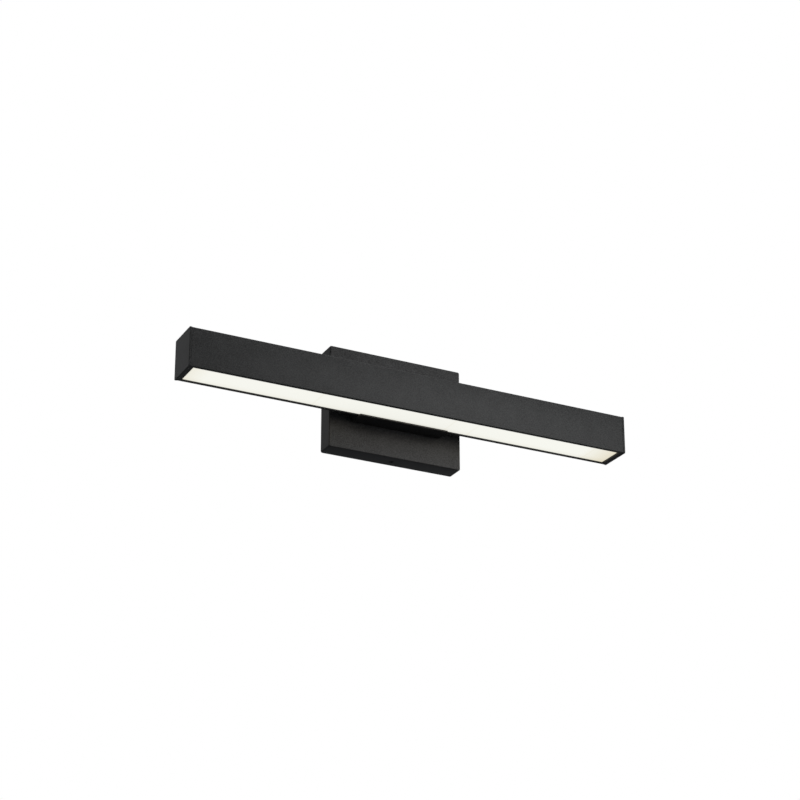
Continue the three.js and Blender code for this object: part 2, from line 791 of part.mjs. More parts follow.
/** LED board with its row of chips on the underside, centred on X. */
function ledBoard() {
  const half = boardLength / 2;
  let body = block(-half, -boardWidth / 2, boardBottom, half, boardWidth / 2, boardTop);
  const gaps = Math.floor((boardLength - 2 * chipEndMargin) / chipPitch);
  for (let index = 0; index <= gaps; index += 1) {
    const x = (index - gaps / 2) * chipPitch;
    body = body.add(block(
      x - chipLength / 2, -chipWidth / 2, boardBottom - chipHeight,
      x + chipLength / 2, chipWidth / 2, boardBottom + boardThickness / 2,
    ));
  }
  for (const place of boardScrewPlaces) {
    const hole = rod(boardScrewRadius + fitGap, 3 * boardThickness, alongZ);
    body = body.subtract(hole.translate([place, 0, boardBottom - boardThickness]));
  }
  return body;
}

/** Plug-in link that carries current across the gap between the boards. */
function boardLink() {
  const half = boardSpacing / 2 + linkReach;
  return block(-half, -linkWidth / 2, -linkHeight, half, linkWidth / 2, 0);
}

/** Socket on the right board's end that the LED lead plugs into. */
function boardSocket() {
  const body = block(-socketLength, -socketWidth / 2, -socketHeight, 0, socketWidth / 2, 0);
  const well = rod(ledLeadRadius + fitGap / 2, socketLength, alongX)
    .translate([-socketLength * 0.4, 0, -socketHeight / 2]);
  return body.subtract(well);
}

/** Grommet in the tray's lead hole, its flange on top of the tray. */
function trayGrommet() {
  const spigot = rod(ledLeadHoleRadius - fitGap, trayThickness + grommetFlange, alongZ)
    .translate([0, 0, -trayThickness]);
  const collar = rod(ledLeadHoleRadius + grommetFlange, grommetFlange, alongZ)
    .translate([0, 0, seatGap]);
  const bore = rod(ledLeadRadius + fitGap, 8 * trayThickness, alongZ)
    .translate([0, 0, -4 * trayThickness]);
  return spigot.add(collar).subtract(bore);
}

const driverFloor = trayTop + seatGap;
const driverTop = barHeight / 2 - housingWall - driverHeadroom;
const driverBaseHeight = driverTop - driverLidThickness - seatGap - driverFloor;
const driverLeadRise = driverBaseHeight - driverLeadDrop;

/** Driver base: open-topped tray with pegs for its board, feet, and a lead hole at each end. */
function driverBase() {
  const halfDepth = driverDepth / 2;
  let body = block(0, -halfDepth, 0, driverLength, halfDepth, driverBaseHeight);
  body = body.subtract(block(
    driverWall, -halfDepth + driverWall, driverWall,
    driverLength - driverWall, halfDepth - driverWall, driverBaseHeight + 1,
  ));
  const footHalf = driverFootDepth / 2;
  body = body.add(block(-driverFootLength, -footHalf, 0, driverWall, footHalf, driverFootThickness));
  body = body.add(block(
    driverLength - driverWall, -footHalf, 0,
    driverLength + driverFootLength, footHalf, driverFootThickness,
  ));
  for (const end of [-1, 1]) {
    for (const side of [-1, 1]) {
      const x = driverLength / 2 + end * (driverLength / 2 - driverWall - driverPegSize);
      const y = side * (halfDepth - driverWall - driverPegSize);
      body = body.add(block(
        x - driverPegSize / 2, y - driverPegSize / 2, driverWall / 2,
        x + driverPegSize / 2, y + driverPegSize / 2, driverWall + driverBoardRise - seatGap,
      ));
    }
  }
  for (const x of driverFootEnds) {
    const hole = rod(driverScrewRadius + fitGap, 6 * driverFootThickness, alongZ);
    body = body.subtract(hole.translate([x - driverStart, 0, -3 * driverFootThickness]));
  }
  const inlet = rod(supplyLeadRadius + fitGap, 3 * driverWall, alongX)
    .translate([-driverWall, 0, driverLeadRise]);
  const outlet = rod(ledLeadRadius + fitGap, 3 * driverWall, alongX)
    .translate([driverLength - 2 * driverWall, 0, driverLeadRise]);
  return body.subtract(inlet).subtract(outlet);
}

/** Driver lid with a locating lip that drops inside the base. */
function driverLid() {
  const halfDepth = driverDepth / 2;
  const inset = driverWall + fitGap;
  const top = block(0, -halfDepth, 0, driverLength, halfDepth, driverLidThickness);
  const lip = block(
    inset, -halfDepth + inset, -driverLidLip,
    driverLength - inset, halfDepth - inset, driverLidThickness / 2,
  );
  const hollow = block(
    inset + driverWall, -halfDepth + inset + driverWall, -2 * driverLidLip,
    driverLength - inset - driverWall, halfDepth - inset - driverWall, 0,
  );
  return top.add(lip).subtract(hollow);
}

/** Driver circuit board with its transformer, capacitors, choke and switching parts. */
function driverBoard() {
  const inset = driverWall + fitGap;
  const y = driverDepth / 2 - inset;
  const top = driverBoardThickness;
  const sunk = top / 2;
  const room = driverBaseHeight - driverWall - driverBoardRise - driverLidLip - driverPartClearance;
  let body = block(inset, -y, 0, driverLength - inset, y, top);
  const parts = [
    block(52, -0.63 * y, sunk, 74, 0.63 * y, room), // transformer
    block(84, -0.56 * y, sunk, 96, 0.14 * y, 0.75 * room), // choke
    block(100, -0.77 * y, sunk, 112, -0.21 * y, 0.4 * room), // controller
    block(30, -0.77 * y, sunk, 42, -0.28 * y, 0.65 * room), // filter capacitor
  ];
  for (const part of parts) {
    body = body.add(part);
  }
  const capacitors = [[26, 0.3 * y], [40, 0.28 * y], [118, 0.28 * y]];
  for (const [x, radius] of capacitors) {
    body = body.add(rod(radius, 0.9 * room - sunk, alongZ).translate([x, 0.4 * y, sunk]));
  }
  return body;
}

// ---------------------------------------------------------------------------
// Leads, in the object's frame
// ---------------------------------------------------------------------------

/** Supply lead: terminal block, up to the nipple, through it, and along to the driver. */
function supplyLead() {
  const driverZ = barCentreZ + driverFloor + driverLeadRise;
  const blockTop = terminalZ + terminalHeight / 2;
  const canopyRun = canopyFace + canopyWall + terminalDepth * 0.45 + seatGap;
  const driverEntry = driverStart + leadInsideDriver;
  const driverLine = barCentreY + driverY;
  const route = [
    new THREE.Vector3(terminalX, canopyRun, blockTop + 0.5),
    new THREE.Vector3(terminalX, canopyRun + 0.4, blockTop + 6),
    new THREE.Vector3(terminalX + 5, canopyRun + 3, blockTop + 14),
    new THREE.Vector3(terminalX + 18, nippleBack + 9, fixingZ + 1),
    new THREE.Vector3(-18, nippleBack + 10.5, fixingZ + 1),
    new THREE.Vector3(-6, nippleBack + 8.5, fixingZ),
    new THREE.Vector3(0, nippleBack + 3, fixingZ),
    new THREE.Vector3(0, nippleBack - 1.5, fixingZ),
    new THREE.Vector3(0, (nippleBack + nippleFront) / 2, fixingZ),
    new THREE.Vector3(0, nippleFront + 1.5, fixingZ),
    new THREE.Vector3(0.4, nippleFront - 3, fixingZ),
    new THREE.Vector3(7, nippleFront - 11, fixingZ + 0.3),
    new THREE.Vector3(22, driverLine + 3, fixingZ - 0.4),
    new THREE.Vector3(40, driverLine + 0.4, driverZ),
    new THREE.Vector3(driverStart - 6, driverLine, driverZ),
    new THREE.Vector3(driverEntry, driverLine, driverZ),
  ];
  return lead(route, supplyLeadRadius, 70);
}

/** LED lead: out of the driver, along the tray, down the grommet and into the board's socket. */
function ledLead() {
  const x = ledLeadHoleX;
  const outlet = driverStart + driverLength;
  const run = x - outlet;
  const driverZ = driverFloor + driverLeadRise;
  const socketZ = boardBottom - seatGap - socketHeight / 2;
  const socketX = boardCentre + boardLength / 2 - socketInset;
  const route = [
    new THREE.Vector3(outlet - leadInsideDriver, driverY, driverZ),
    new THREE.Vector3(outlet + run * 0.12, driverY, driverZ),
    new THREE.Vector3(outlet + run * 0.4, driverY * 0.6, driverZ - 3),
    new THREE.Vector3(outlet + run * 0.72, driverY * 0.2, trayTop + 6.5),
    new THREE.Vector3(outlet + run * 0.9, 0, trayTop + 7.6),
    new THREE.Vector3(x - 1.6, 0, trayTop + 5.6),
    new THREE.Vector3(x, 0, trayTop + 1.4),
    new THREE.Vector3(x, 0, trayBottom - 0.6),
    new THREE.Vector3(x - 1.4, 0, socketZ + 0.9),
    new THREE.Vector3(socketX + 2, 0, socketZ),
    new THREE.Vector3(socketX - socketLength * 0.3, 0, socketZ),
  ];
  return lead(route, ledLeadRadius, 70);
}

// ---------------------------------------------------------------------------
// Assembly
// ---------------------------------------------------------------------------

const light = new THREE.Group();

const wallSide = new THREE.Group();
wallSide.add(piece('wall_plate', wallPlate(), zincSteel));
wallSide.add(piece(
  'ground_screw', groundScrew(), greenSteel,
  groundTabX - seatGap, -plateThickness - groundTabSize / 2, groundTabZ,
));
light.add(wallSide);

const canopyGroup = new THREE.Group();
canopyGroup.add(piece('canopy', canopy(), blackPowderCoat));
const lockY = -canopyDepth / 2;
canopyGroup.add(piece('lock_screw_nut', lockNut(), zincSteel, 0, lockY, -canopyInnerHalfHeight));
canopyGroup.add(piece(
  'lock_screw', lockScrew(), zincSteel,
  0, lockY, -canopyHeight / 2 + lockScrewSunk,
));
const terminalSeat = canopyFace + canopyWall + seatGap;
canopyGroup.add(piece('terminal_block', terminalBlock(), whiteNylon, terminalX, terminalSeat, terminalZ));
canopyGroup.add(piece(
  'terminal_nut',
  hexRod(studNutAcrossFlats, studNutThickness, alongY)
    .subtract(rod(studRadius + fitGap, 3 * studNutThickness, alongY).translate([0, -studNutThickness, 0])),
  zincSteel,
  terminalX + studOffset(), terminalSeat + terminalFootThickness + seatGap, terminalZ,
));
light.add(canopyGroup);

const armGroup = new THREE.Group();
armGroup.position.set(0, canopyFace - seatGap, barCentreZ);
armGroup.add(piece('saddle_bracket', saddle(), blackPowderCoat));
const canopyScrew = () => turned(panScrew(
  fixingHeadRadius,
  fixingHeadHeight,
  fixingRadius,
  canopyWall + saddleThickness + 3 * seatGap + fixingGrip,
), 90, 0, 0);
const barScrew = () => turned(panScrew(
  fixingHeadRadius,
  fixingHeadHeight,
  fixingRadius,
  housingWall + 2 * seatGap + fixingGrip,
), -90, 0, 0);
for (const [side, label] of [[-1, 'left'], [1, 'right']]) {
  const x = side * fixingSpread;
  const standoffY = -saddleThickness - seatGap - standoffLength;
  armGroup.add(piece(`standoff_${label}`, standoff(), zincSteel, x, standoffY, fixingRise));
  armGroup.add(piece(
    `canopy_screw_${label}`, canopyScrew(), zincSteel,
    x, canopyWall + 2 * seatGap, fixingRise,
  ));
  armGroup.add(piece(
    `bar_screw_${label}`, barScrew(), zincSteel,
    x, -armGap - housingWall, fixingRise,
  ));
}
light.add(armGroup);

const nippleGroup = new THREE.Group();
nippleGroup.position.set(0, 0, fixingZ);
nippleGroup.add(piece('wire_nipple', nipple(), brass, 0, nippleFront, 0));
nippleGroup.add(piece('nipple_nut_canopy', nippleNut(), zincSteel, 0, canopyFace + canopyWall + seatGap, 0));
nippleGroup.add(piece(
  'nipple_nut_bar', nippleNut(), zincSteel,
  0, barBackY - housingWall - seatGap - nippleNutThickness, 0,
));
nippleGroup.add(piece('nipple_bushing_canopy', bushing(), blackNylon, 0, nippleBack + seatGap, 0));
nippleGroup.add(piece(
  'nipple_bushing_bar', turned(bushing(), 180, 0, 0), blackNylon,
  0, nippleFront - seatGap, 0,
));
light.add(nippleGroup);

const barGroup = new THREE.Group();
barGroup.position.set(0, barCentreY, barCentreZ);
barGroup.add(piece('bar_housing', housing(), blackPowderCoat));
barGroup.add(piece('end_cap_right', endCap(), blackPowderCoat));
barGroup.add(piece('end_cap_left', turned(endCap(), 0, 0, 180), blackPowderCoat));
barGroup.add(piece('diffuser', diffuser(), frostedAcrylic));
barGroup.add(piece('led_tray', ledTray(), whiteSheet));
for (const [side, label] of [[-1, 'left'], [1, 'right']]) {
  barGroup.add(piece(`led_board_${label}`, ledBoard(), boardWhite, side * boardCentre, 0, 0));
  boardScrewPlaces.forEach((place, index) => {
    barGroup.add(piece(
      `board_screw_${label}_${index + 1}`,
      panScrew(boardScrewHeadRadius, boardScrewHeadHeight, boardScrewRadius, boardScrewLength),
      zincSteel,
      side * boardCentre + place, 0, boardBottom - seatGap,
    ));
  });
}
barGroup.add(piece('board_link', boardLink(), whiteNylon, 0, linkY, boardBottom - seatGap));
barGroup.add(piece(
  'board_socket', boardSocket(), whiteNylon,
  boardCentre + boardLength / 2 - socketInset, 0, boardBottom - seatGap,
));
barGroup.add(piece('tray_grommet', trayGrommet(), blackNylon, ledLeadHoleX, 0, trayTop));
barGroup.add(piece('driver_base', driverBase(), greyPlastic, driverStart, driverY, driverFloor));
barGroup.add(piece(
  'driver_board', driverBoard(), greenBoard,
  driverStart, driverY, driverFloor + driverWall + driverBoardRise,
));
barGroup.add(piece(
  'driver_lid', driverLid(), greyPlastic,
  driverStart, driverY, driverFloor + driverBaseHeight + seatGap,
));
driverFootEnds.forEach((x, index) => {
  barGroup.add(piece(
    `driver_screw_${index + 1}`,
    turned(panScrew(driverScrewHeadRadius, driverScrewHeadHeight, driverScrewRadius, driverScrewLength), 180, 0, 0),
    zincSteel,
    x, driverY, driverFloor + driverFootThickness + seatGap,
  ));
});
barGroup.add(piece('led_lead', ledLead(), leadSheath));
light.add(barGroup);

light.add(piece('supply_lead', supplyLead(), leadSheath));

export default light;
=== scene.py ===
# %% [markdown]
# # A straight vanity light bar in matte black
# The light is an aluminium extrusion, open underneath, with a frosted strip in its mouth and a
# plate over each end. A folded steel saddle carries it off a pressed steel canopy, which slips
# over a plate on the wall. The design, its sizes and its joints are already made and packed.
# This notebook loads that model, never moves it, and builds the looks around it in Blender.

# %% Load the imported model
import json
import math

import bmesh
import bpy
import numpy as np
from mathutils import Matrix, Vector


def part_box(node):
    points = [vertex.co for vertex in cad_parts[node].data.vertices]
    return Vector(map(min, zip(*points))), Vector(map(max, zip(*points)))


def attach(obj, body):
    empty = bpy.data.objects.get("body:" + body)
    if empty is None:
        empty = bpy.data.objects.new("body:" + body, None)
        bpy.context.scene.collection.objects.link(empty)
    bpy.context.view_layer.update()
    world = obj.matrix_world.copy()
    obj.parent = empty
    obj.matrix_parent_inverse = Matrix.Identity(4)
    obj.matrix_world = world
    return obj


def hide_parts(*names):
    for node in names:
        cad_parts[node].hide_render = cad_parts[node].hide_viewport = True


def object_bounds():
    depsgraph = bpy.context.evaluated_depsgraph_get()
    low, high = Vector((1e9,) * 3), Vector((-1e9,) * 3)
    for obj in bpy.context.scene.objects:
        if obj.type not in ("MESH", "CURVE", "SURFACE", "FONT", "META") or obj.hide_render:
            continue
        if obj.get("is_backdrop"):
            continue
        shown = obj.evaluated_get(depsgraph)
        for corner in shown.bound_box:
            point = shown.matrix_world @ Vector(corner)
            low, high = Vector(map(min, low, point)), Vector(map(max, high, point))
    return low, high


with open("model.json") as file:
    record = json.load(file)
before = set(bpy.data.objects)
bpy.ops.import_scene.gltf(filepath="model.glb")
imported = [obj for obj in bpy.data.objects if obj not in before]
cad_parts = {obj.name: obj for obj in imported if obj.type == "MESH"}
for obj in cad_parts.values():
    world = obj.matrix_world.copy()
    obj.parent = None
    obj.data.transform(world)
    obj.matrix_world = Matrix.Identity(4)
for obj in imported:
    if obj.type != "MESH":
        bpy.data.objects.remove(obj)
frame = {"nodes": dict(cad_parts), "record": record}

cad_low, cad_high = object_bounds()

# %% [markdown]
# ## Units, axes and the places that everything hangs on
# Blender works in metres, and a maker of lamps in millimetres, so `mm` turns one to the other.
# X runs along the bar, -Y comes out of the wall and Z is up. The origin is the middle of the
# wall plate's back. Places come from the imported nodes' boxes, so a piece sits where the design
# says, and only sizes that a box can't tell, such as a wall's thickness, are given again.

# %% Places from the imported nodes
mm = 0.001
X, Y, Z = 0, 1, 2


def box(node):
    """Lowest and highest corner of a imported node, as two arrays."""
    low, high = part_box(node)
    return np.array(low), np.array(high)


housing_low, housing_high = box("bar_housing")
bar_middle = (housing_low + housing_high) / 2
canopy_low, canopy_high = box("canopy")
saddle_low, saddle_high = box("saddle_bracket")
fixing = np.mean(box("wire_nipple"), axis=0)
print("bar middle in mm:", np.round(bar_middle / mm, 1))

# %% [markdown]
# ## The camera
# The light is seen from below, on its left, by someone who looks up at it. A long lens keeps
# the bar's edges nearly parallel. The lens is shifted up a little, as an architect's view
# camera is, so that the upright edges stay upright without tilting the camera as far.

# %% Camera
camera_from_bar = Vector((-1051.9, -2061.7, -1014.9)) * mm
camera_turn = math.radians(-26.731)
camera_rise = math.radians(19.089)

camera_data = bpy.data.cameras.new("camera")
camera_data.lens = 90
camera_data.shift_y = 0.2
camera = bpy.data.objects.new("camera", camera_data)
camera.location = Vector(bar_middle) + camera_from_bar
camera.rotation_euler = (math.pi / 2 + camera_rise, 0, camera_turn)
bpy.context.scene.collection.objects.link(camera)
bpy.context.scene.camera = camera
print("camera at", [round(c, 3) for c in camera.location])

# %% [markdown]
# ## Colour
# Colours are written as the hex codes that a picture shows. Light adds up in linear numbers,
# so one function takes the screen's curve off each channel.

# %% Colour


def colour(hex_code):
    """Linear RGBA of an sRGB hex code: each channel c becomes ((c + 0.055) / 1.055) ** 2.4,
    or c / 12.92 where it is very dark."""
    c = np.array([int(hex_code[i:i + 2], 16) for i in (1, 3, 5)]) / 255
    linear = np.where(c > 0.04045, ((c + 0.055) / 1.055) ** 2.4, c / 12.92)
    return (*linear.tolist(), 1.0)


print("mid grey #808080 is", round(colour("#808080")[0], 3), "in linear light")

# %% [markdown]
# ## Nodes
# Sky, floor and finishes are all made of shader nodes. A node could be dragged into place by
# hand, but then nobody can read how it was set. Here one small function adds any node, with its
# settings and links in one call, so each tree reads from top to bottom.

# %% Node helper


def add(tree, kind, settings=None, **inputs):
    """Adds a node to a tree. Settings are the node's own values; each input, named with
    underscores for spaces or as in_0 for a number, is a value or another node's socket."""
    node = tree.nodes.new(kind)
    for name, value in (settings or {}).items():
        setattr(node, name, value)
    for name, value in inputs.items():
        key = int(name[3:]) if name.startswith("in_") else name.replace("_", " ")
        if isinstance(value, bpy.types.NodeSocket):
            tree.links.new(value, node.inputs[key])
        else:
            node.inputs[key].default_value = value
    return node


# %% [markdown]
# ## Studio
# A wall would hide the back, which is worth seeing, so the light hangs free. The world is an
# even pale sky: the eye sees it as pure white, while it lights the black coat more gently, as a
# white tent round a product does. It could light the coat as brightly as it looks, but a black
# thing needs it dim.

# %% Sky
sky_strength = 0.142

world = bpy.data.worlds.new("studio")
world.use_nodes = True
sky = world.node_tree
sky.nodes.clear()
seen = add(sky, "ShaderNodeBackground", Color=colour("#ffffff"), Strength=1.0)
lit = add(sky, "ShaderNodeBackground", Color=colour("#f7faff"), Strength=sky_strength)
ray = add(sky, "ShaderNodeLightPath")
both = add(sky, "ShaderNodeMixShader", in_0=ray.outputs["Is Camera Ray"],
           in_1=lit.outputs[0], in_2=seen.outputs[0])
add(sky, "ShaderNodeOutputWorld", Surface=both.outputs[0])
bpy.context.scene.world = world
bpy.context.scene.view_settings.view_transform = "Standard"
print("sky lights with", sky_strength, "of the strength it is seen with")

# %% [markdown]
# ## Soft boxes
# A broad box stands in front on the right, a second behind on the left lights the end, and a
# third overhead draws the roof. Two cards close to the front roll off towards the left. One
# more box fills the back, which none of the others reaches. Area lamps were chosen because
# their edges fall off softly, as a cloth box's do. None of them is seen itself.

# %% Soft boxes


def soft_box(name, place, aim, size, watts, hex_code):
    """A rectangle of light at a place, facing a point, both in metres."""
    data = bpy.data.lights.new(name, "AREA")
    data.shape = "RECTANGLE"
    data.size, data.size_y = size
    data.energy = watts
    data.color = colour(hex_code)[:3]
    lamp = bpy.data.objects.new(name, data)
    lamp.location = place
    lamp.rotation_euler = (Vector(aim) - Vector(place)).to_track_quat("-Z", "Y").to_euler()
    lamp.visible_camera = False
    bpy.context.scene.collection.objects.link(lamp)
    return lamp


centre = Vector(bar_middle)
boxes = [
    # name, place and aim from the bar's middle in metres, size in metres, watts
    ("front_right", (1.6, -1.8, 0.0), (0.1, 0, 0), (1.4, 1.0), 9.0),
    ("near_card", (0.25, -0.65, 0.25), (0.2, 0, 0), (0.5, 0.35), 1.0),
    ("end_card", (0.55, -0.6, 0.25), (0.35, 0, 0), (0.5, 0.35), 0.56),
    ("back_left", (-1.5, 1.6, 0.7), (0, 0, 0), (1.4, 1.2), 2.3),
    ("overhead", (0.0, -0.4, 1.8), (0, 0, 0), (1.8, 1.0), 15.5),
    ("back_right", (2.4, 1.2, 0.5), (0, 0, 0), (2.0, 1.6), 45.0),
]
for name, place, aim, size, watts in boxes:
    soft_box(name, centre + Vector(place), centre + Vector(aim), size, watts, "#ffffff")
print(len(boxes), "soft boxes of", sum(watts for *_, watts in boxes), "watts in all")

# %% [markdown]
# ## Glow of the lamps
# The frosted cover glows by itself, but a glowing mesh takes many samples to light its
# neighbours. So three faint strips just under it stand for what it throws on the canopy and the
# rims. It is stronger beside the saddle, where the lamps are not shaded. They ride with the light.

# %% Glow of the lamps
glow_share = 0.96
glow_gap = 0.8 * mm

diffuser_low, diffuser_high = box("diffuser")
strip_size = (diffuser_high - diffuser_low)[:2] * glow_share
strip_place = Vector((0, bar_middle[Y], diffuser_low[Z] - glow_gap))
strips = [
    # name, place along the bar, length, watts
    ("lamp_glow", 0, strip_size[X], 0.018),
    ("lamp_glow_left", -110 * mm, 90 * mm, 0.012),
    ("lamp_glow_right", 115 * mm, 90 * mm, 0.017),
]
for name, x, length, watts in strips:
    place = strip_place + Vector((x, 0, 0))
    below = place - Vector((0, 0, 1))
    glow = soft_box(name, place, below, (length, strip_size[Y]), watts, "#ffd9a8")
    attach(glow, "fixture")
print(len(strips), "strips ride on the fixture")

# %% [markdown]
# ## How every new piece is made
# A part that is turned, drawn, folded or extruded is one closed outline carried along a path,
# and the outline may change on the way. So one function does for all of them: it takes a stack
# of rings, all with the same number of points, skins them with quads and closes the two ends.
# A box modelled by hand and bevelled would do as well, but here every radius is a number.

# %% Outlines


def rounded_rectangle(width, height, radius, steps=6):
    """Outline of a rectangle with round corners, anticlockwise: each corner is a quarter
    circle about a centre that lies one radius in from both sides."""
    quarter = np.linspace(0, np.pi / 2, steps + 1)
    starts = np.array([-1, 0, 1, 2]) * np.pi / 2
    angle = (starts[:, None] + quarter).ravel()
    signs = np.array([[1, -1], [1, 1], [-1, 1], [-1, -1]])
    middle = np.repeat(signs * (np.array([width, height]) / 2 - radius), steps + 1, axis=0)
    return middle + radius * np.stack([np.cos(angle), np.sin(angle)], axis=1)


def rounded_outline(points, radii, steps=4):
    """An outline with every corner rounded. At a corner whose half angle is h, the arc starts
    radius / tan(h) along each side, and its points swing evenly from one side to the other
    about a centre on the bisector, radius / sin(h) from the corner."""
    p = np.array(points, float)
    r = np.broadcast_to(np.asarray(radii, float), len(p))[:, None]
    before = np.roll(p, 1, axis=0) - p
    after = np.roll(p, -1, axis=0) - p
    a = before / np.linalg.norm(before, axis=1, keepdims=True)
    b = after / np.linalg.norm(after, axis=1, keepdims=True)
    half = np.arccos(np.clip((a * b).sum(1), -1, 1))[:, None] / 2
    bisector = (a + b) / np.linalg.norm(a + b, axis=1, keepdims=True)
    middle = p + bisector * r / np.sin(half)
    first = p + a * r / np.tan(half) - middle
    last = p + b * r / np.tan(half) - middle
    swing = np.pi - 2 * half
    k = np.linspace(0, 1, steps + 1)[None, :, None]
    arc = (np.sin((1 - k) * swing[:, None]) * first[:, None]
           + np.sin(k * swing[:, None]) * last[:, None]) / np.sin(swing[:, None])
    return (middle[:, None] + arc).reshape(-1, 2)


def circle(radius, count=32):
    """Points round a circle, anticlockwise, spaced by equal angles."""
    angle = np.arange(count) * 2 * np.pi / count
    return radius * np.stack([np.cos(angle), np.sin(angle)], axis=1)


print("a rounded rectangle has", len(rounded_rectangle(2, 1, 0.1)), "points")

# %% Rings and skins


def along(axis, outlines, places):
    """Rings in space: outline points (a, b) and a place s along an axis become (s, a, b)
    turned so that s lies on X, Y or Z and a, b on the other two axes in X, Y, Z order."""
    outlines = np.asarray(outlines, float)
    places = np.asarray(places, float)
    if outlines.ndim == 2:
        outlines = np.repeat(outlines[None], len(places), axis=0)
    rest = [i for i in (X, Y, Z) if i != axis]
    rings = np.empty((*outlines.shape[:2], 3))
    rings[..., axis] = places[:, None]
    rings[..., rest[0]] = outlines[..., 0]
    rings[..., rest[1]] = outlines[..., 1]
    return rings


def skin(name, rings, wrap=False, at=(0, 0, 0)):
    """One closed mesh over a stack of rings. Quads join each ring to the next; the first and
    last rings are filled, or with wrap joined to each other as in a ring doughnut."""
    rings = np.asarray(rings, float) + np.asarray(at, float)
    m, n = rings.shape[:2]
    row = np.arange(m if wrap else m - 1)[:, None]
    col = np.arange(n)[None]
    up, right = (row + 1) % m, (col + 1) % n
    quads = np.stack([row * n + col, row * n + right, up * n + right, up * n + col], axis=-1)
    faces = quads.reshape(-1, 4).tolist()
    if not wrap:
        faces += [list(range(n)), list(range((m - 1) * n, m * n))]
    mesh = bpy.data.meshes.new(name)
    mesh.from_pydata(rings.reshape(-1, 3), [], faces)
    shell = bmesh.new()
    shell.from_mesh(mesh)
    bmesh.ops.recalc_face_normals(shell, faces=shell.faces)
    shell.to_mesh(mesh)
    shell.free()
    piece = bpy.data.objects.new(name, mesh)
    bpy.context.scene.collection.objects.link(piece)
    return piece


# %% [markdown]
# ## Cutting, joining and finishing
# Holes are cut and lugs joined with Boolean modifiers. Their exact solver is the slow one, but
# it copes with faces that lie in one plane, and these have many. The result goes into the mesh
# at once, so the tools can be thrown away. Every piece ends in `finish`, which gives it its
# name, its material and the body that it rides on.

# %% Modifiers put into the mesh


def bake(piece):
    """Puts what the modifiers made into the mesh and takes the modifiers off."""
    view = bpy.context.evaluated_depsgraph_get()
    made = bpy.data.meshes.new_from_object(piece.evaluated_get(view))
    piece.modifiers.clear()
    piece.data = made
    return piece


def boolean(piece, operation, *tools):
    """Cuts tools from a piece, joins them to it, or keeps what they share, exactly."""
    for tool in tools:
        step = piece.modifiers.new("tool", "BOOLEAN")
        step.operation = operation
        step.solver = "EXACT"
        step.object = tool
    bake(piece)
    for tool in tools:
        bpy.data.objects.remove(tool)
    return piece


# %% Tools and turned parts


def block(low, high, radius=0.2 * mm, steps=2):
    """A box between two corners whose upright edges are round."""
    low, high = np.minimum(low, high), np.maximum(low, high)
    size, middle = high - low, (low + high) / 2
    ring = rounded_rectangle(size[X], size[Y], radius, steps)
    return skin("block", along(Z, ring, [-size[Z] / 2, size[Z] / 2]), at=middle)


def drill(axis, at, radius, length, count=32):
    """A round tool centred on a point, for a hole along an axis."""
    return skin("drill", along(axis, circle(radius, count), [-length / 2, length / 2]), at=at)


def turned(name, axis, profile, at, count=32, sign=1, wrap=False):
    """A turned part: a profile of (radius, place) pairs spun about an axis through a point."""
    profile = np.array(profile, float)
    rings = profile[:, :1, None] * circle(1, count)[None]
    return skin(name, along(axis, rings, sign * profile[:, 1]), wrap=wrap, at=at)


# %% Finishing


def finish(piece, name, material, body, replaces=(), crease=35):
    """Names a piece, gives it its finish and body, and shades it smooth up to an angle."""
    piece.name = name
    piece.data.name = name
    piece.data.materials.clear()
    piece.data.materials.append(material)
    smooth = np.ones(len(piece.data.polygons), bool)
    piece.data.polygons.foreach_set("use_smooth", smooth)
    piece.data.set_sharp_from_angle(angle=math.radians(crease))
    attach(piece, body)
    if replaces:
        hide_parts(*replaces)
    print(f"{name}: {len(piece.data.polygons)} faces")
    return piece


# %% [markdown]
# ## Floor
# A round sheet of pale backdrop paper lies well below the light. Lit by the boxes it would turn
# grey where they fade, so it gives off an even light of its own, which lights nothing else. It
# grows paler with distance, until it meets the white of the sky.

# %% Pale floor
floor_drop = 1.45
floor_radius = 14.0
floor_thickness = 0.02
fade_start, fade_end = 2.0, 10.0
cloud_size = 1 / 0.6

floor_top = bar_middle[Z] - floor_drop
floor_levels = [floor_top - floor_thickness, floor_top]
floor = skin("floor", along(Z, circle(floor_radius, 128), floor_levels))

paper = bpy.data.materials.new("pale_backdrop_paper")
paper.use_nodes = True
paper_tree = paper.node_tree
paper_tree.nodes.clear()
spot = add(paper_tree, "ShaderNodeTexCoord").outputs["Object"]
cloud = add(paper_tree, "ShaderNodeTexNoise", Vector=spot, Scale=1 / cloud_size,
            Detail=2.0).outputs[0]
shade = add(paper_tree, "ShaderNodeMix", {"data_type": "RGBA"}, in_0=cloud,
            in_6=colour("#e6e6e4"), in_7=colour("#ededeb")).outputs[2]
away = add(paper_tree, "ShaderNodeVectorMath", {"operation": "LENGTH"},
           in_0=spot).outputs["Value"]
far = add(paper_tree, "ShaderNodeMapRange", {"interpolation_type": "SMOOTHSTEP"}, in_0=away,
          in_1=fade_start, in_2=fade_end).outputs[0]
pale = add(paper_tree, "ShaderNodeMix", {"data_type": "RGBA"}, in_0=far,
           in_6=shade, in_7=colour("#ffffff")).outputs[2]
shine = add(paper_tree, "ShaderNodeEmission", Color=pale, Strength=1.0)
add(paper_tree, "ShaderNodeOutputMaterial", Surface=shine.outputs[0])
floor.data.materials.append(paper)
floor.visible_diffuse = False
floor.visible_glossy = False
floor.visible_shadow = False
floor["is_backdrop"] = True
print("floor", floor_drop, "m below the bar")

# %% [markdown]
# ## Finishes
# Nearly every finish here is a coat, a plate or a moulding: one shade that wanders a little,
# with a fine grain that roughens the gloss. So one function lays the ground, and each material
# gives its own shades, grain size and depth from what it really is. Patterns read the object's
# own coordinates in metres, so a grain of 1.5 mm is a scale of 1 / 0.0015. Noise stays near its
# middle most of the time, so the span where it mostly lies is stretched to the whole range.

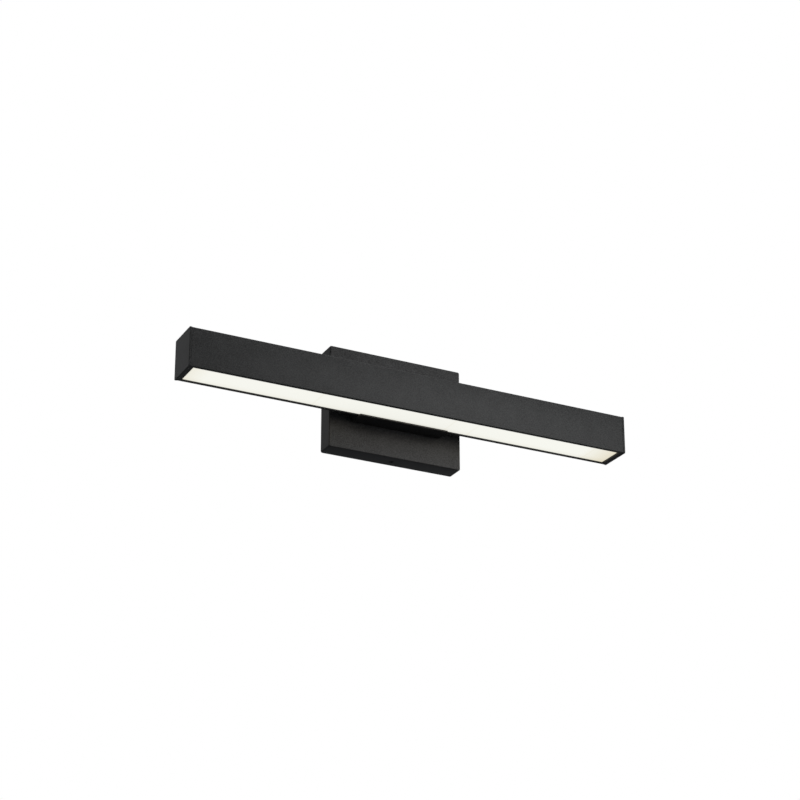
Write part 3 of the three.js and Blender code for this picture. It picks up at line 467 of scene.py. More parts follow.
# %% The ground that finishes share
noise_low, noise_high = 0.35, 0.65
sum_low, sum_high = 0.75, 1.25


def grained(name, dark, light, grain, rough, depth=0.0, blotch=40 * mm, lay=(1, 1, 1),
            sheen=(0.5, 0.5), **shader):
    """A material that wanders between two shades with a fine grain and broad blotches, both in
    metres. rough and sheen are the least and most roughness and specular level, depth is how
    far the grain stands up, and lay stretches it along X, Y and Z, as rolling or drawing does."""
    material = bpy.data.materials.new(name)
    material.use_nodes = True
    tree = material.node_tree
    tree.nodes.clear()
    place = add(tree, "ShaderNodeTexCoord").outputs["Object"]
    scale = [1 / (grain * s) for s in lay]
    spot = add(tree, "ShaderNodeMapping", Vector=place, Scale=scale).outputs[0]
    fine = add(tree, "ShaderNodeTexNoise", Vector=spot, Scale=1.0, Detail=2.0).outputs[0]
    broad = add(tree, "ShaderNodeTexNoise", Vector=place, Scale=1 / blotch, Detail=2.0).outputs[0]
    total = add(tree, "ShaderNodeMath", {"operation": "ADD"}, in_0=fine, in_1=broad).outputs[0]
    share = add(tree, "ShaderNodeMapRange", in_0=total, in_1=sum_low, in_2=sum_high).outputs[0]
    tint = add(tree, "ShaderNodeMix", {"data_type": "RGBA"}, in_0=share,
               in_6=colour(dark), in_7=colour(light)).outputs[2]
    gloss = add(tree, "ShaderNodeMapRange", in_0=fine, in_1=noise_low, in_2=noise_high,
                in_3=rough[0], in_4=rough[1]).outputs[0]
    glint = add(tree, "ShaderNodeMapRange", in_0=fine, in_1=noise_low, in_2=noise_high,
                in_3=sheen[0], in_4=sheen[1]).outputs[0]
    bump = add(tree, "ShaderNodeBump", Strength=1.0, Distance=depth, Height=fine).outputs[0]
    body = add(tree, "ShaderNodeBsdfPrincipled", Base_Color=tint, Roughness=gloss,
               Specular_IOR_Level=glint, Normal=bump, **shader)
    add(tree, "ShaderNodeOutputMaterial", Surface=body.outputs[0])
    return material, tree, place, body


# %% [markdown]
# ### Powder coat
# Fine matte polyester powder, sprayed and baked: a dry black that is grey where light grazes it.
# One dark shade with a high roughness would look like card. What tells it for a coat is the grain
# in its gloss and the cloudy patches that the spray leaves.

# %% Powder coat
# The real grain is near 0.3 mm, finer than the view can show, so it is drawn at 1.0 mm.
powder_grain = 1.0 * mm
spray_patch = 24 * mm
coated_bar = grained("powder_coated_aluminium_black", "#111212", "#232424", powder_grain,
                     (0.43, 0.55), 0.04 * mm, spray_patch, sheen=(0.33, 0.67), IOR=1.5)[0]
coated_steel = grained("powder_coated_steel_black", "#111111", "#232323", powder_grain,
                       (0.43, 0.55), 0.05 * mm, spray_patch, sheen=(0.3, 0.7), IOR=1.5)[0]
print("powder grain drawn at", powder_grain / mm, "mm")

# %% [markdown]
# ### Frosted acrylic
# The cover is extruded opal acrylic with the lamps some way behind it. It could be made of
# glass that scatters, with real lamps above, but that takes thousands of samples to settle. A
# white skin that glows by itself looks the same from below. Its light is a little warmer and
# weaker past the last lamps at each end, and faint seams show where strips of lamps meet.

# %% Frosted acrylic
glow_strength = 0.86
cover_white = colour("#f7f7ef")
cover_warm = colour("#dfd5b8")
right_fade, left_fade, back_fade = 42 * mm, 24 * mm, 12 * mm
right_most, left_most, back_most = 0.8, 0.35, 0.2
seam_places = (-126 * mm, 58 * mm, 91 * mm, 264 * mm)
seam_width = 2.2 * mm
seam_share = 0.16

acrylic, tree, place, body = grained("frosted_acrylic_extruded", "#eeece2", "#f3f2ea", 2.5 * mm,
                                     (0.42, 0.5), depth=0.02 * mm, IOR=1.49,
                                     Emission_Strength=glow_strength)
split = add(tree, "ShaderNodeSeparateXYZ", Vector=place)
fade = 0.0
for axis, outside, inside, most in (
        (X, diffuser_high[X], diffuser_high[X] - right_fade, right_most),
        (X, diffuser_low[X], diffuser_low[X] + left_fade, left_most),
        (Y, diffuser_high[Y], diffuser_high[Y] - back_fade, back_most)):
    edge = add(tree, "ShaderNodeMapRange", in_0=split.outputs[axis], in_1=inside, in_2=outside,
               in_3=0.0, in_4=most).outputs[0]
    fade = add(tree, "ShaderNodeMath", {"operation": "ADD"}, in_0=edge, in_1=fade).outputs[0]
for seam in seam_places:
    near = add(tree, "ShaderNodeMath", {"operation": "COMPARE"},
               in_0=split.outputs[X], in_1=seam, in_2=seam_width / 2).outputs[0]
    fade = add(tree, "ShaderNodeMath", {"operation": "MULTIPLY_ADD"},
               in_0=near, in_1=seam_share, in_2=fade).outputs[0]
lit_colour = add(tree, "ShaderNodeMix", {"data_type": "RGBA"}, in_0=fade,
                 in_6=cover_white, in_7=cover_warm).outputs[2]
tree.links.new(lit_colour, body.inputs["Emission Color"])
print("frosted cover glows at", glow_strength, "with", len(seam_places), "seams")

# %% [markdown]
# ### Metals, mouldings and boards
# None of these faces the room, but they are in plain sight from behind and on the bench.
# Rolled strip has a grain along X, screws and nuts are turned bright and zinc plated, and the
# mouldings have the slight orange-peel sheen of a mould that has been spark eroded.

# %% Metals, mouldings and boards
zinc_sheet = grained("zinc_plated_steel_rolled", "#aeb1b4", "#c4c7cb", 0.8 * mm, (0.40, 0.52),
                     depth=0.002 * mm, lay=(12, 1, 1), Metallic=1.0)[0]
zinc_turned = grained("zinc_plated_steel_turned", "#adb0b3", "#d0d2d5", 0.6 * mm, (0.2, 0.34),
                      depth=0.01 * mm, Metallic=1.0)[0]
black_oxide = grained("black_oxide_steel_machined", "#17181a", "#26272a", 0.5 * mm, (0.32, 0.45),
                      depth=0.01 * mm, Metallic=1.0)[0]
green_zinc = grained("green_dyed_zinc_steel", "#2c7a45", "#469a60", 0.8 * mm, (0.25, 0.4),
                     depth=0.01 * mm, Metallic=1.0)[0]
brass = grained("yellow_brass_turned", "#b8924a", "#d6b46a", 0.6 * mm, (0.22, 0.36),
                depth=0.01 * mm, Metallic=1.0)[0]
white_sheet = grained("white_coated_aluminium_rolled", "#e2e0d9", "#efede7", 1.5 * mm, (0.4, 0.52),
                      depth=0.03 * mm, IOR=1.5)[0]
white_nylon = grained("white_nylon_moulded", "#dedbd1", "#e9e7df", 0.9 * mm, (0.42, 0.55),
                      depth=0.03 * mm, IOR=1.53)[0]
black_nylon = grained("black_nylon_moulded", "#17181a", "#212224", 0.9 * mm, (0.42, 0.55),
                      depth=0.03 * mm, IOR=1.53)[0]
grey_case = grained("grey_polycarbonate_moulded", "#c3c4c0", "#d0d1cd", 1.0 * mm, (0.4, 0.55),
                    depth=0.04 * mm, IOR=1.58)[0]
white_board = grained("fibreglass_board_white_mask", "#e4e2d8", "#f0eee6", 2.0 * mm, (0.28, 0.4),
                      depth=0.02 * mm, IOR=1.5)[0]
green_board = grained("fibreglass_board_green_mask", "#1f5a36", "#2f7048", 2.0 * mm, (0.28, 0.4),
                      depth=0.02 * mm, IOR=1.5)[0]
sheath = grained("grey_pvc_sheath_extruded", "#d3d2cb", "#e0dfd9", 1.5 * mm, (0.4, 0.5),
                 depth=0.02 * mm, IOR=1.53)[0]

finishes = {
    "black_coated_steel": coated_steel,
    "black_coated_aluminium": coated_bar,
    "frosted_acrylic": acrylic,
    "white_coated_aluminium": white_sheet,
    "white_circuit_board": white_board,
    "green_circuit_board": green_board,
    "zinc_plated_steel": zinc_turned,
    "black_oxide_steel": black_oxide,
    "green_ground_steel": green_zinc,
    "yellow_brass": brass,
    "white_nylon": white_nylon,
    "black_nylon": black_nylon,
    "grey_polycarbonate": grey_case,
    "grey_lead_sheath": sheath,
}
slot_of = {part["node"]: part["material_slot"] for part in frame["record"]["subparts"]}

for name, node in frame["nodes"].items():
    node.data.materials.clear()
    node.data.materials.append(finishes[slot_of[name]])
print(len(finishes), "finishes on", len(slot_of), "nodes")

# %% [markdown]
# ## Bar housing
# An extrusion is one section pushed along its length, so the housing is the section carried
# along X. Every corner has a small radius, as a die leaves it; the edges of the coat would be
# razor lines without them. The holes in its back wall are drilled afterwards: two for the screws
# and one between them for the nipple, in line with those of the saddle and the canopy.

# %% Section of the housing
housing_wall = 1.8 * mm
rim_width = 4.0 * mm
rim_height = 9.0 * mm
groove_rise = 4.6 * mm
groove_height = 1.8 * mm
groove_depth = 1.2 * mm
rib_reach = 3.0 * mm
rib_thickness = 1.5 * mm
fit_gap = 0.3 * mm
edge_radius = 0.8 * mm
inner_radius = 0.25 * mm

half_depth, half_height = (housing_high - housing_low)[1:] / 2
tray_low, tray_high = (corner[Z] - bar_middle[Z] for corner in box("led_tray"))
inner = half_depth - housing_wall
rim = half_depth - rim_width
groove = -half_height + groove_rise
rib_low, rib_high = tray_low - fit_gap, tray_high + fit_gap
one_side = np.array([
    (half_depth, half_height),
    (half_depth, -half_height),
    (rim, -half_height),
    (rim, groove),
    (rim + groove_depth, groove),
    (rim + groove_depth, groove + groove_height),
    (rim, groove + groove_height),
    (rim, -half_height + rim_height),
    (inner, -half_height + rim_height),
    (inner, rib_low - rib_thickness),
    (inner - rib_reach, rib_low - rib_thickness),
    (inner - rib_reach, rib_low),
    (inner, rib_low),
    (inner, rib_high),
    (inner - rib_reach, rib_high),
    (inner - rib_reach, rib_high + rib_thickness),
    (inner, rib_high + rib_thickness),
    (inner, half_height - housing_wall),
])
other_side = one_side[::-1] * (-1, 1)
corner_radii = np.full(len(one_side), inner_radius)
corner_radii[:2] = edge_radius
section = rounded_outline(np.concatenate([one_side, other_side]),
                          np.concatenate([corner_radii, corner_radii[::-1]]))
housing = skin("housing", along(X, section, [housing_low[X], housing_high[X]]),
               at=(0, *bar_middle[1:]))
print("the section has", len(section), "points")

# %% Holes of the housing
nipple_hole_radius = 5.3 * mm
screw_hole_radius = 2.3 * mm
screw_spread = np.mean(box("standoff_right"), axis=0)[X]
fixings = ((-screw_spread, screw_hole_radius), (0, nipple_hole_radius),
           (screw_spread, screw_hole_radius))


def fixing_holes(middle, wall):
    """Tools for the three fixing holes through a wall of a given thickness, whose middle lies
    at a given Y."""
    return [drill(Y, (x, middle, fixing[Z]), radius, 4 * wall) for x, radius in fixings]


boolean(housing, "DIFFERENCE", *fixing_holes(housing_high[Y] - housing_wall / 2, housing_wall))
finish(housing, "housing_extrusion", coated_bar, "fixture", ["bar_housing"])

# %% [markdown]
# ## End caps
# Each cap is a die-cast plate with a soft outer edge. A sill closes the end of the light's
# mouth, and two lugs push in under the roof. The plate is a stack of the same outline, bevelled
# where it meets the housing, so that the joint shows as a line, and drawn in along a quarter
# circle at its outer face. Sill and lugs are joined on as one solid.

# %% End caps
cap_edge = 0.5 * mm
cap_corner = 1.3 * mm
cap_bevel = 0.45 * mm
cap_gap = 0.1 * mm
least_corner = 0.1 * mm
sill_length = 4.5 * mm
sill_height = 7.0 * mm
lug_length, lug_depth, lug_height = 8.0 * mm, 7.0 * mm, 6.0 * mm
overlap = 1.0 * mm
sweep = np.linspace(0, np.pi / 2, 6)


def soft_stack(width, height, corner, edge):
    """Outlines that draw in by edge * (1 - cos a) as a goes from 0 to a quarter turn."""
    return [rounded_rectangle(width - 2 * d, height - 2 * d, max(corner - d, least_corner))
            for d in edge * (1 - np.cos(sweep))]


def end_cap(side, node):
    """Plate, sill and lugs for the end on the given side, -1 or 1, joined as one solid."""
    low, high = box(node)
    depth, height = (high - low)[1:]
    outer = high[X] if side > 0 else low[X]
    face = housing_high[X] * side + side * cap_gap
    stack = soft_stack(depth, height, cap_corner, cap_edge)
    joint = rounded_rectangle(depth - 2 * cap_bevel, height - 2 * cap_bevel,
                              cap_corner - cap_bevel)
    places = np.append([face, face + side * cap_bevel],
                       outer - side * cap_edge * (1 - np.sin(sweep)))
    plate = skin(node, along(X, [joint, stack[0], *stack], places), at=(0, *bar_middle[1:]))
    root = face + side * overlap
    sill_half = rim - fit_gap
    foot = bar_middle[Z] - half_height
    sill = block((face - side * sill_length, bar_middle[Y] - sill_half, foot),
                 (root, bar_middle[Y] + sill_half, foot + sill_height))
    roof = bar_middle[Z] + half_height - housing_wall - fit_gap
    walls = [bar_middle[Y] + flank * (inner - fit_gap) for flank in (-1, 1)]
    lugs = [block((face - side * lug_length, wall, roof - lug_height),
                  (root, wall - flank * lug_depth, roof)) for flank, wall in zip((-1, 1), walls)]
    return boolean(plate, "UNION", sill, *lugs)


for side, node in ((-1, "end_cap_left"), (1, "end_cap_right")):
    finish(end_cap(side, node), node + "_casting", coated_bar, "fixture", [node])

# %% [markdown]
# ## Frosted cover
# Also an extrusion: a flat strip with a leg along each side, whose barb snaps into the
# housing's groove. Its face is set back behind the rims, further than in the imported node,
# which draws a dark line round it, thicker on the far side, where the rim's wall shows.

# %% Frosted cover
cover_thickness = 2.0 * mm
leg_thickness = 1.2 * mm
snap_gap = 0.4 * mm
face_set_back = 0.9 * mm
cover_radius = 0.12 * mm
cover_slice_count = 41

cover_low = diffuser_low[Z] - bar_middle[Z] + face_set_back
leg_top = diffuser_high[Z] - bar_middle[Z]
cover_edge = rim - fit_gap
barb = diffuser_high[Y] - bar_middle[Y]
barb_low = groove + snap_gap
barb_high = groove + groove_height - snap_gap
cover_side = np.array([
    (cover_edge, cover_low),
    (cover_edge, barb_low),
    (barb, barb_low),
    (cover_edge, barb_high),
    (cover_edge, leg_top),
    (cover_edge - leg_thickness, leg_top),
    (cover_edge - leg_thickness, cover_low + cover_thickness),
])
cover_points = np.concatenate([cover_side, cover_side[::-1] * (-1, 1)])
cover_section = rounded_outline(cover_points, cover_radius, 3)
cover_slices = np.linspace(diffuser_low[X], diffuser_high[X], cover_slice_count)
cover = skin("cover", along(X, cover_section, cover_slices), at=(0, *bar_middle[1:]))
finish(cover, "diffuser_extrusion", acrylic, "fixture", ["diffuser"])

# %% [markdown]
# ## Canopy
# A box pressed from sheet steel, open towards the wall. Outside and inside are one skin: the
# outline starts on the face, rolls over the edge, runs back to the rim, turns in over the
# sheet's thickness and comes back up inside. Solidify on an open shell would do the same, but
# then the inside radius would not be a press tool's.

# %% Canopy
canopy_wall = 1.2 * mm
canopy_corner = 2.4 * mm
canopy_edge = 1.4 * mm
inner_press = 0.5 * mm
inner_corner = 0.3 * mm
rim_round = 0.25 * mm

canopy_mid = (canopy_low + canopy_high) / 2
canopy_size = canopy_high - canopy_low
face_y, rim_y = canopy_low[Y], canopy_high[Y]
quarter_in = 1 - np.cos(sweep)
quarter_up = 1 - np.sin(sweep)
inset = np.concatenate([
    canopy_edge * quarter_in[::-1],
    rim_round * quarter_in,
    canopy_wall - rim_round * quarter_in[::-1],
    canopy_wall + inner_press * quarter_in,
])
rise = np.concatenate([
    face_y + canopy_edge * quarter_up[::-1],
    rim_y - rim_round * quarter_up,
    rim_y - rim_round * quarter_up[::-1],
    face_y + canopy_wall + inner_press * quarter_up,
])
outlines = [rounded_rectangle(canopy_size[X] - 2 * d, canopy_size[Z] - 2 * d,
                              max(canopy_corner - d, inner_corner)) for d in inset]
canopy = skin("canopy_shell", along(Y, outlines, rise), at=(canopy_mid[X], 0, canopy_mid[Z]))
print("the canopy's skin has", len(outlines), "rings")

# %% Holes and stud of the canopy
lock_hole = 3.3 * mm
stud_radius = 1.5 * mm
stud_length = 7.0 * mm
weld_rise, weld_top = 0.3 * mm, 0.8 * mm
stud_sunk = 0.4 * mm
stud_chamfer = 0.4 * mm

lock_low, lock_high = box("lock_screw")
lock_axis = (lock_low + lock_high) / 2
lock_drill = drill(Z, (lock_axis[X], lock_axis[Y], canopy_low[Z] + canopy_wall / 2), lock_hole,
                   4 * canopy_wall)
boolean(canopy, "DIFFERENCE", *fixing_holes(face_y + canopy_wall / 2, canopy_wall), lock_drill)

stud_axis = np.mean(box("terminal_nut"), axis=0)
canopy_floor = face_y + canopy_wall
stud_top = canopy_floor + stud_length
stud_profile = [(1.7 * stud_radius, canopy_floor - stud_sunk),
                (1.6 * stud_radius, canopy_floor + weld_rise),
                (stud_radius, canopy_floor + weld_top),
                (stud_radius, stud_top - stud_chamfer),
                (0.75 * stud_radius, stud_top)]
stud = turned("stud", Y, stud_profile, (stud_axis[X], 0, stud_axis[Z]))
boolean(canopy, "UNION", stud)
finish(canopy, "canopy_pressing", coated_steel, "fixture", ["canopy"])

# %% [markdown]
# ## Saddle
# Two millimetre steel, folded: a back against the canopy and a lip over and under the bar, with
# a cheek at each side. The back and lips are one channel section carried along X, so its bends
# have an inner and an outer radius that differ by the sheet. The lips' corners are trimmed by
# keeping only what lies inside a rounded plan.

# %% Saddle
sheet = 2.0 * mm
bend_inner = 0.6 * mm
sheared_edge = 0.3 * mm
trim_radius = 1.5 * mm
bar_clearance = 0.3 * mm

saddle_mid = (saddle_low + saddle_high) / 2
saddle_size = saddle_high - saddle_low
top, reach = saddle_size[Z] / 2, saddle_size[Y]
channel = np.array([
    (0, -top), (0, top), (-reach, top), (-reach, top - sheet),
    (-sheet, top - sheet), (-sheet, -top + sheet), (-reach, -top + sheet), (-reach, -top),
])
bends = [bend_inner + sheet, bend_inner + sheet, sheared_edge, sheared_edge,
         bend_inner, bend_inner, sheared_edge, sheared_edge]
back_y, saddle_half = saddle_high[Y], saddle_size[X] / 2
saddle = skin("saddle", along(X, rounded_outline(channel, bends, 6), [-saddle_half, saddle_half]),
              at=(0, back_y, saddle_mid[Z]))
plan = rounded_rectangle(saddle_size[X], 2 * reach, trim_radius)
boolean(saddle, "INTERSECT",
        skin("plan", along(Z, plan, [-2 * top, 2 * top]), at=(0, back_y, saddle_mid[Z])))
cheek_front, cheek_back = housing_high[Y] + bar_clearance, back_y - sheet / 2
cheek_low, cheek_high = saddle_mid[Z] - top + sheet / 2, saddle_mid[Z] + top - sheet / 2
cheeks = [block((side * saddle_half, cheek_front, cheek_low),
                (side * (saddle_half - sheet), cheek_back, cheek_high)) for side in (-1, 1)]
boolean(saddle, "UNION", *cheeks)
boolean(saddle, "DIFFERENCE", *fixing_holes(back_y - sheet / 2, sheet))
finish(saddle, "saddle_folding", coated_steel, "fixture", ["saddle_bracket"])

# %% [markdown]
# ## Threads, nuts and screws
# A thread is a ripple that winds round a rod: at angle t and height z the radius dips by the
# thread's depth times a triangle wave of z / pitch - t / turn. A hexagon is a circle whose
# radius grows to the corners, and a chamfer is a cone that cuts those corners off. So screws
# and nuts are rings too, and only the cross in a screw's head needs cutting.

# %% Threads and hexagons
turn = 2 * np.pi
rings_per_pitch = 8


def threaded(name, axis, radius, pitch, depth, start, end, at, bore=None, count=32):
    """A threaded rod between two places on an axis, or a tube if it has a bore. Its ends are
    cut back by a cone one thread deep, so the thread runs out as a real one does."""
    low, high = sorted((start, end))
    z = np.linspace(low, high, int(rings_per_pitch * (high - low) / pitch) + 2)[:, None]
    t = np.arange(count)[None] / count
    wave = 2 * np.abs((z / pitch - t) % 1 - 0.5)
    edge = np.minimum(z - low, high - z)
    r = np.minimum(radius - depth * wave, radius - depth + edge)
    rings = along(axis, r[..., None] * circle(1, count), z[:, 0])
    if bore is None:
        return skin(name, rings, at=at)
    inside = along(axis, circle(bore, count), [high, low])
    return skin(name, np.concatenate([rings, inside]), wrap=True, at=at)


def hexagon(name, axis, flats, start, end, bore, at, count=48):
    """A chamfered hexagonal nut or spacer with a plain bore. The radius at angle t is half the
    flats over cos of the angle from the nearest flat, or the chamfer's cone if that is less."""
    low, high = sorted((start, end))
    chamfer, face_share, cone_slope = 0.09 * flats, 0.97, 1.7
    step = chamfer * np.linspace(0, 1, 4)
    z = np.concatenate([low + step, high - step[::-1]])
    t = np.arange(count) * turn / count
    flat = flats / 2 / np.cos((t + turn / 12) % (turn / 6) - turn / 12)
    cone = flats / 2 * face_share + cone_slope * np.minimum(z - low, high - z)
    r = np.minimum(flat[None], cone[:, None])
    outside = along(axis, r[..., None] * circle(1, count), z)
    inside = along(axis, circle(bore, count), [high, low])
    return skin(name, np.concatenate([outside, inside]), wrap=True, at=at)


def centre_line(node, axis):
    """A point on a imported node's centre line, at place 0 on the axis that the line follows."""
    middle = np.mean(box(node), axis=0)
    middle[axis] = 0
    return middle


# %% Pan-head screws
flat_share = 0.62      # radius of the flat on top, as a share of the head's
rim_share = 0.3        # height of the head's upright rim, as a share of the head's
cross_span, cross_width, cross_depth = 0.52, 0.13, 0.6
thread_share = 0.12    # depth of the thread, as a share of the shank's radius
shank_sunk = 0.3 * mm


def pan_screw(node, axis, sign, head_height, shank_radius, pitch):
    """A cross-recessed pan-head screw in the place of a packed one. The head is a low dome: its
    radius falls as a quarter ellipse does, from the rim to the flat on top."""
    low, high = box(node)
    middle = centre_line(node, axis)
    head_radius = max(np.delete(high - low, axis)) / 2
    top, tip = (low[axis], high[axis]) if sign > 0 else (high[axis], low[axis])
    seat = top + sign * head_height
    rise = np.linspace(0, 1, 7)
    radius = head_radius * (flat_share + (1 - flat_share) * np.sqrt(1 - rise ** 2))
    level = seat - sign * head_height * (rim_share + (1 - rim_share) * rise)
    profile = np.concatenate([[(head_radius, seat)], np.stack([radius, level], axis=1)])
    head = turned(node, axis, profile, middle)
    span, width = head_radius * cross_span, head_radius * cross_width
    reach = np.zeros(3)
    reach[axis] = sign * head_height * cross_depth
    arms = []
    for size in ((span, width), (width, span)):
        corner = np.insert(np.array(size), axis, 0.0)
        face = middle.copy()
        face[axis] = top
        arms.append(block(face - corner - reach, face + corner + reach, 0.1 * mm))
    boolean(head, "DIFFERENCE", *arms)
    shank = threaded("shank", axis, shank_radius, pitch, thread_share * shank_radius,
                     seat - sign * shank_sunk, tip, middle)
    return boolean(head, "UNION", shank)


sides = ("left", "right")
screws = [
    # nodes, axis, which way the screw points, head's height, shank's radius, pitch
    ([f"canopy_screw_{side}" for side in sides], Y, -1, 2.6 * mm, 2.0 * mm, 0.7 * mm),
    ([f"bar_screw_{side}" for side in sides], Y, 1, 2.6 * mm, 2.0 * mm, 0.7 * mm),
    ([f"board_screw_{side}_{n}" for side in sides for n in (1, 2)], Z, 1,
     1.6 * mm, 1.25 * mm, 0.45 * mm),
    ([f"driver_screw_{n}" for n in (1, 2)], Z, -1, 2.0 * mm, 1.5 * mm, 0.5 * mm),
]
for nodes, *measures in screws:
    for node in nodes:
        finish(pan_screw(node, *measures), node + "_turned", zinc_turned, "fixture", [node])

# %% [markdown]
# ## Nuts and spacers
# Between the canopy and the bar, two hexagonal spacers sit in the saddle and take a screw at
# each end. Two flat nuts clamp the nipple, and a small one holds the terminal block on its stud.
# All are cut from hexagonal rod, so one function makes them, from flats and bore.

# %% Nuts and spacers
hexagons = [
    # node, across the flats, bore
    ("terminal_nut", 5.5 * mm, 1.8 * mm),
    ("nipple_nut_canopy", 14 * mm, nipple_hole_radius),
    ("nipple_nut_bar", 14 * mm, nipple_hole_radius),
    ("standoff_left", 8 * mm, screw_hole_radius),
    ("standoff_right", 8 * mm, screw_hole_radius),
]
for node, flats, bore in hexagons:
    low, high = box(node)
    nut = hexagon(node, Y, flats, low[Y], high[Y], bore, centre_line(node, Y))
    finish(nut, node + "_turned", zinc_turned, "fixture", [node])

# %% [markdown]
# ## Lock screw and its nut
# The set screw under the canopy is a threaded rod with a hexagonal socket in its end and a cup at
# its point, which bites the wall plate. Its nut is clinched into the sheet before the coat is
# sprayed, so it is black too.

# %% Lock screw
coarse_pitch = 0.7 * mm
lock_thread = 0.3 * mm
socket_flats = 2.0 * mm
socket_depth = 2.4 * mm
cup_floor, cup_mouth, cup_depth = 0.3 * mm, 1.1 * mm, 0.7 * mm

lock_radius = (lock_high - lock_low)[X] / 2
lock_place = (lock_axis[X], lock_axis[Y], 0)
lock = threaded("lock", Z, lock_radius, coarse_pitch, lock_thread, lock_low[Z], lock_high[Z],
                lock_place)
socket_radius = socket_flats / math.sqrt(3)
socket = turned("socket", Z, [(socket_radius, lock_low[Z] - 1 * mm),
                              (socket_radius, lock_low[Z] + socket_depth)], lock_place, count=6)
cup = turned("cup", Z, [(cup_floor, lock_high[Z] - cup_depth),
                        (cup_mouth, lock_high[Z] + 0.1 * mm)], lock_place)
boolean(lock, "DIFFERENCE", socket, cup)
finish(lock, "lock_screw_machined", black_oxide, "clamp_screw", ["lock_screw"])

# %% Clinch nut
nut_bore, nut_barrel, nut_collar = 2.3 * mm, 3.0 * mm, 4.4 * mm
collar_height, collar_soft = 0.8 * mm, 0.2 * mm
nut_chamfer, nut_tip_chamfer = 0.1 * mm, 0.4 * mm


def ring_part(node, axis, profile, material, suffix):
    """A turned ring, whose profile of (radius, place) pairs closes on itself, standing for a
    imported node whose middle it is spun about."""
    part = turned(node, axis, profile, centre_line(node, axis), count=40, wrap=True)
    return finish(part, node + suffix, material, "fixture", [node])


nut_low, nut_high = (corner[Z] for corner in box("lock_screw_nut"))
collar_low = canopy_low[Z] + canopy_wall + 0.1 * mm
collar_high = collar_low + collar_height
nut_profile = [
    (nut_bore, nut_low), (nut_barrel - nut_chamfer, nut_low), (nut_barrel, nut_low + nut_chamfer),
    (nut_barrel, collar_low), (nut_collar, collar_low), (nut_collar, collar_high - 0.1 * mm),
    (nut_collar - collar_soft, collar_high), (nut_barrel, collar_high),
    (nut_barrel, nut_high - nut_tip_chamfer), (nut_barrel - nut_tip_chamfer, nut_high),
    (nut_bore, nut_high),
]
ring_part("lock_screw_nut", Z, nut_profile, coated_steel, "_pressing")

# %% [markdown]
# ## Hollow nipple, its bushings and the grommet
# The nipple is a brass tube, threaded all along, that clamps canopy, saddle and bar together and
# lets the supply lead through. A nylon bushing in each end keeps the lead from chafing, and a
# grommet of the same shape does so in the tray. Each is a flange and a spigot, turned as a ring.

# %% Nipple and bushings
nipple_radius, nipple_bore = 5.0 * mm, 3.6 * mm
nipple_pitch, nipple_thread = 1.0 * mm, 0.45 * mm
bushing_gap = 0.1 * mm
moulded_edge = 0.25 * mm

nipple_low, nipple_high = box("wire_nipple")
nipple = threaded("nipple", Y, nipple_radius, nipple_pitch, nipple_thread, nipple_low[Y],
                  nipple_high[Y], (fixing[X], 0, fixing[Z]), bore=nipple_bore, count=40)
finish(nipple, "wire_nipple_turned", brass, "fixture", ["wire_nipple"])


def flanged_profile(seat, sign, flange, flange_height, spigot, spigot_length, bore):
    """Outline of a bushing: a rounded flange that stands sign-wards of its seat, and a spigot
    that goes the other way, with a lead-in at its tip."""
    soft = moulded_edge
    face, shoulder = seat + sign * flange_height, seat + sign * (flange_height - soft)
    tip, taper = seat - sign * spigot_length, seat - sign * (spigot_length - soft)
    return [(bore + soft, face), (flange - soft, face), (flange, shoulder), (flange, seat),
            (spigot, seat), (spigot, taper), (spigot - soft, tip), (bore, tip), (bore, shoulder)]


for node, seat, sign in (("nipple_bushing_canopy", nipple_high[Y] + bushing_gap, 1),
                         ("nipple_bushing_bar", nipple_low[Y] - bushing_gap, -1)):
    profile = flanged_profile(seat, sign, flange=4.8 * mm, flange_height=1.0 * mm,
                              spigot=3.3 * mm, spigot_length=4.0 * mm, bore=2.55 * mm)
    ring_part(node, Y, profile, black_nylon, "_moulding")

# %% Grommet
grommet_flange_height = 1.4 * mm
grommet_low, grommet_high = box("tray_grommet")
profile = flanged_profile(grommet_high[Z] - grommet_flange_height, 1,
                          flange=(grommet_high - grommet_low)[X] / 2,
                          flange_height=grommet_flange_height,
                          spigot=3.4 * mm, spigot_length=1.6 * mm, bore=1.8 * mm)
ring_part("tray_grommet", Z, profile, black_nylon, "_moulding")

# %% [markdown]
# ## Wall plate
# Plated strip, punched and folded. Its section is a channel, as the saddle's is, carried along X
# and joined to a back that is a little wider, so each fold ends in the small notch that a press
# brake needs. The windows let the wiring through, the slots take the wall box's screws, and the
# ground tab is lanced out of the sheet, which leaves a window of its own size.

# %% Wall plate
plate_sheet = 1.6 * mm
plate_corner = 3.0 * mm
plate_bend = 0.7 * mm
spine_width = 12.0 * mm
window_width, window_height = 26.0 * mm, 44.0 * mm
slot_length, slot_width = 14.0 * mm, 5.0 * mm
slot_share = 0.49      # end radius as a share of the slot's width, a hair under a half
box_screw_spread = 88.9 * mm / 2
sheared_corner = 0.2 * mm

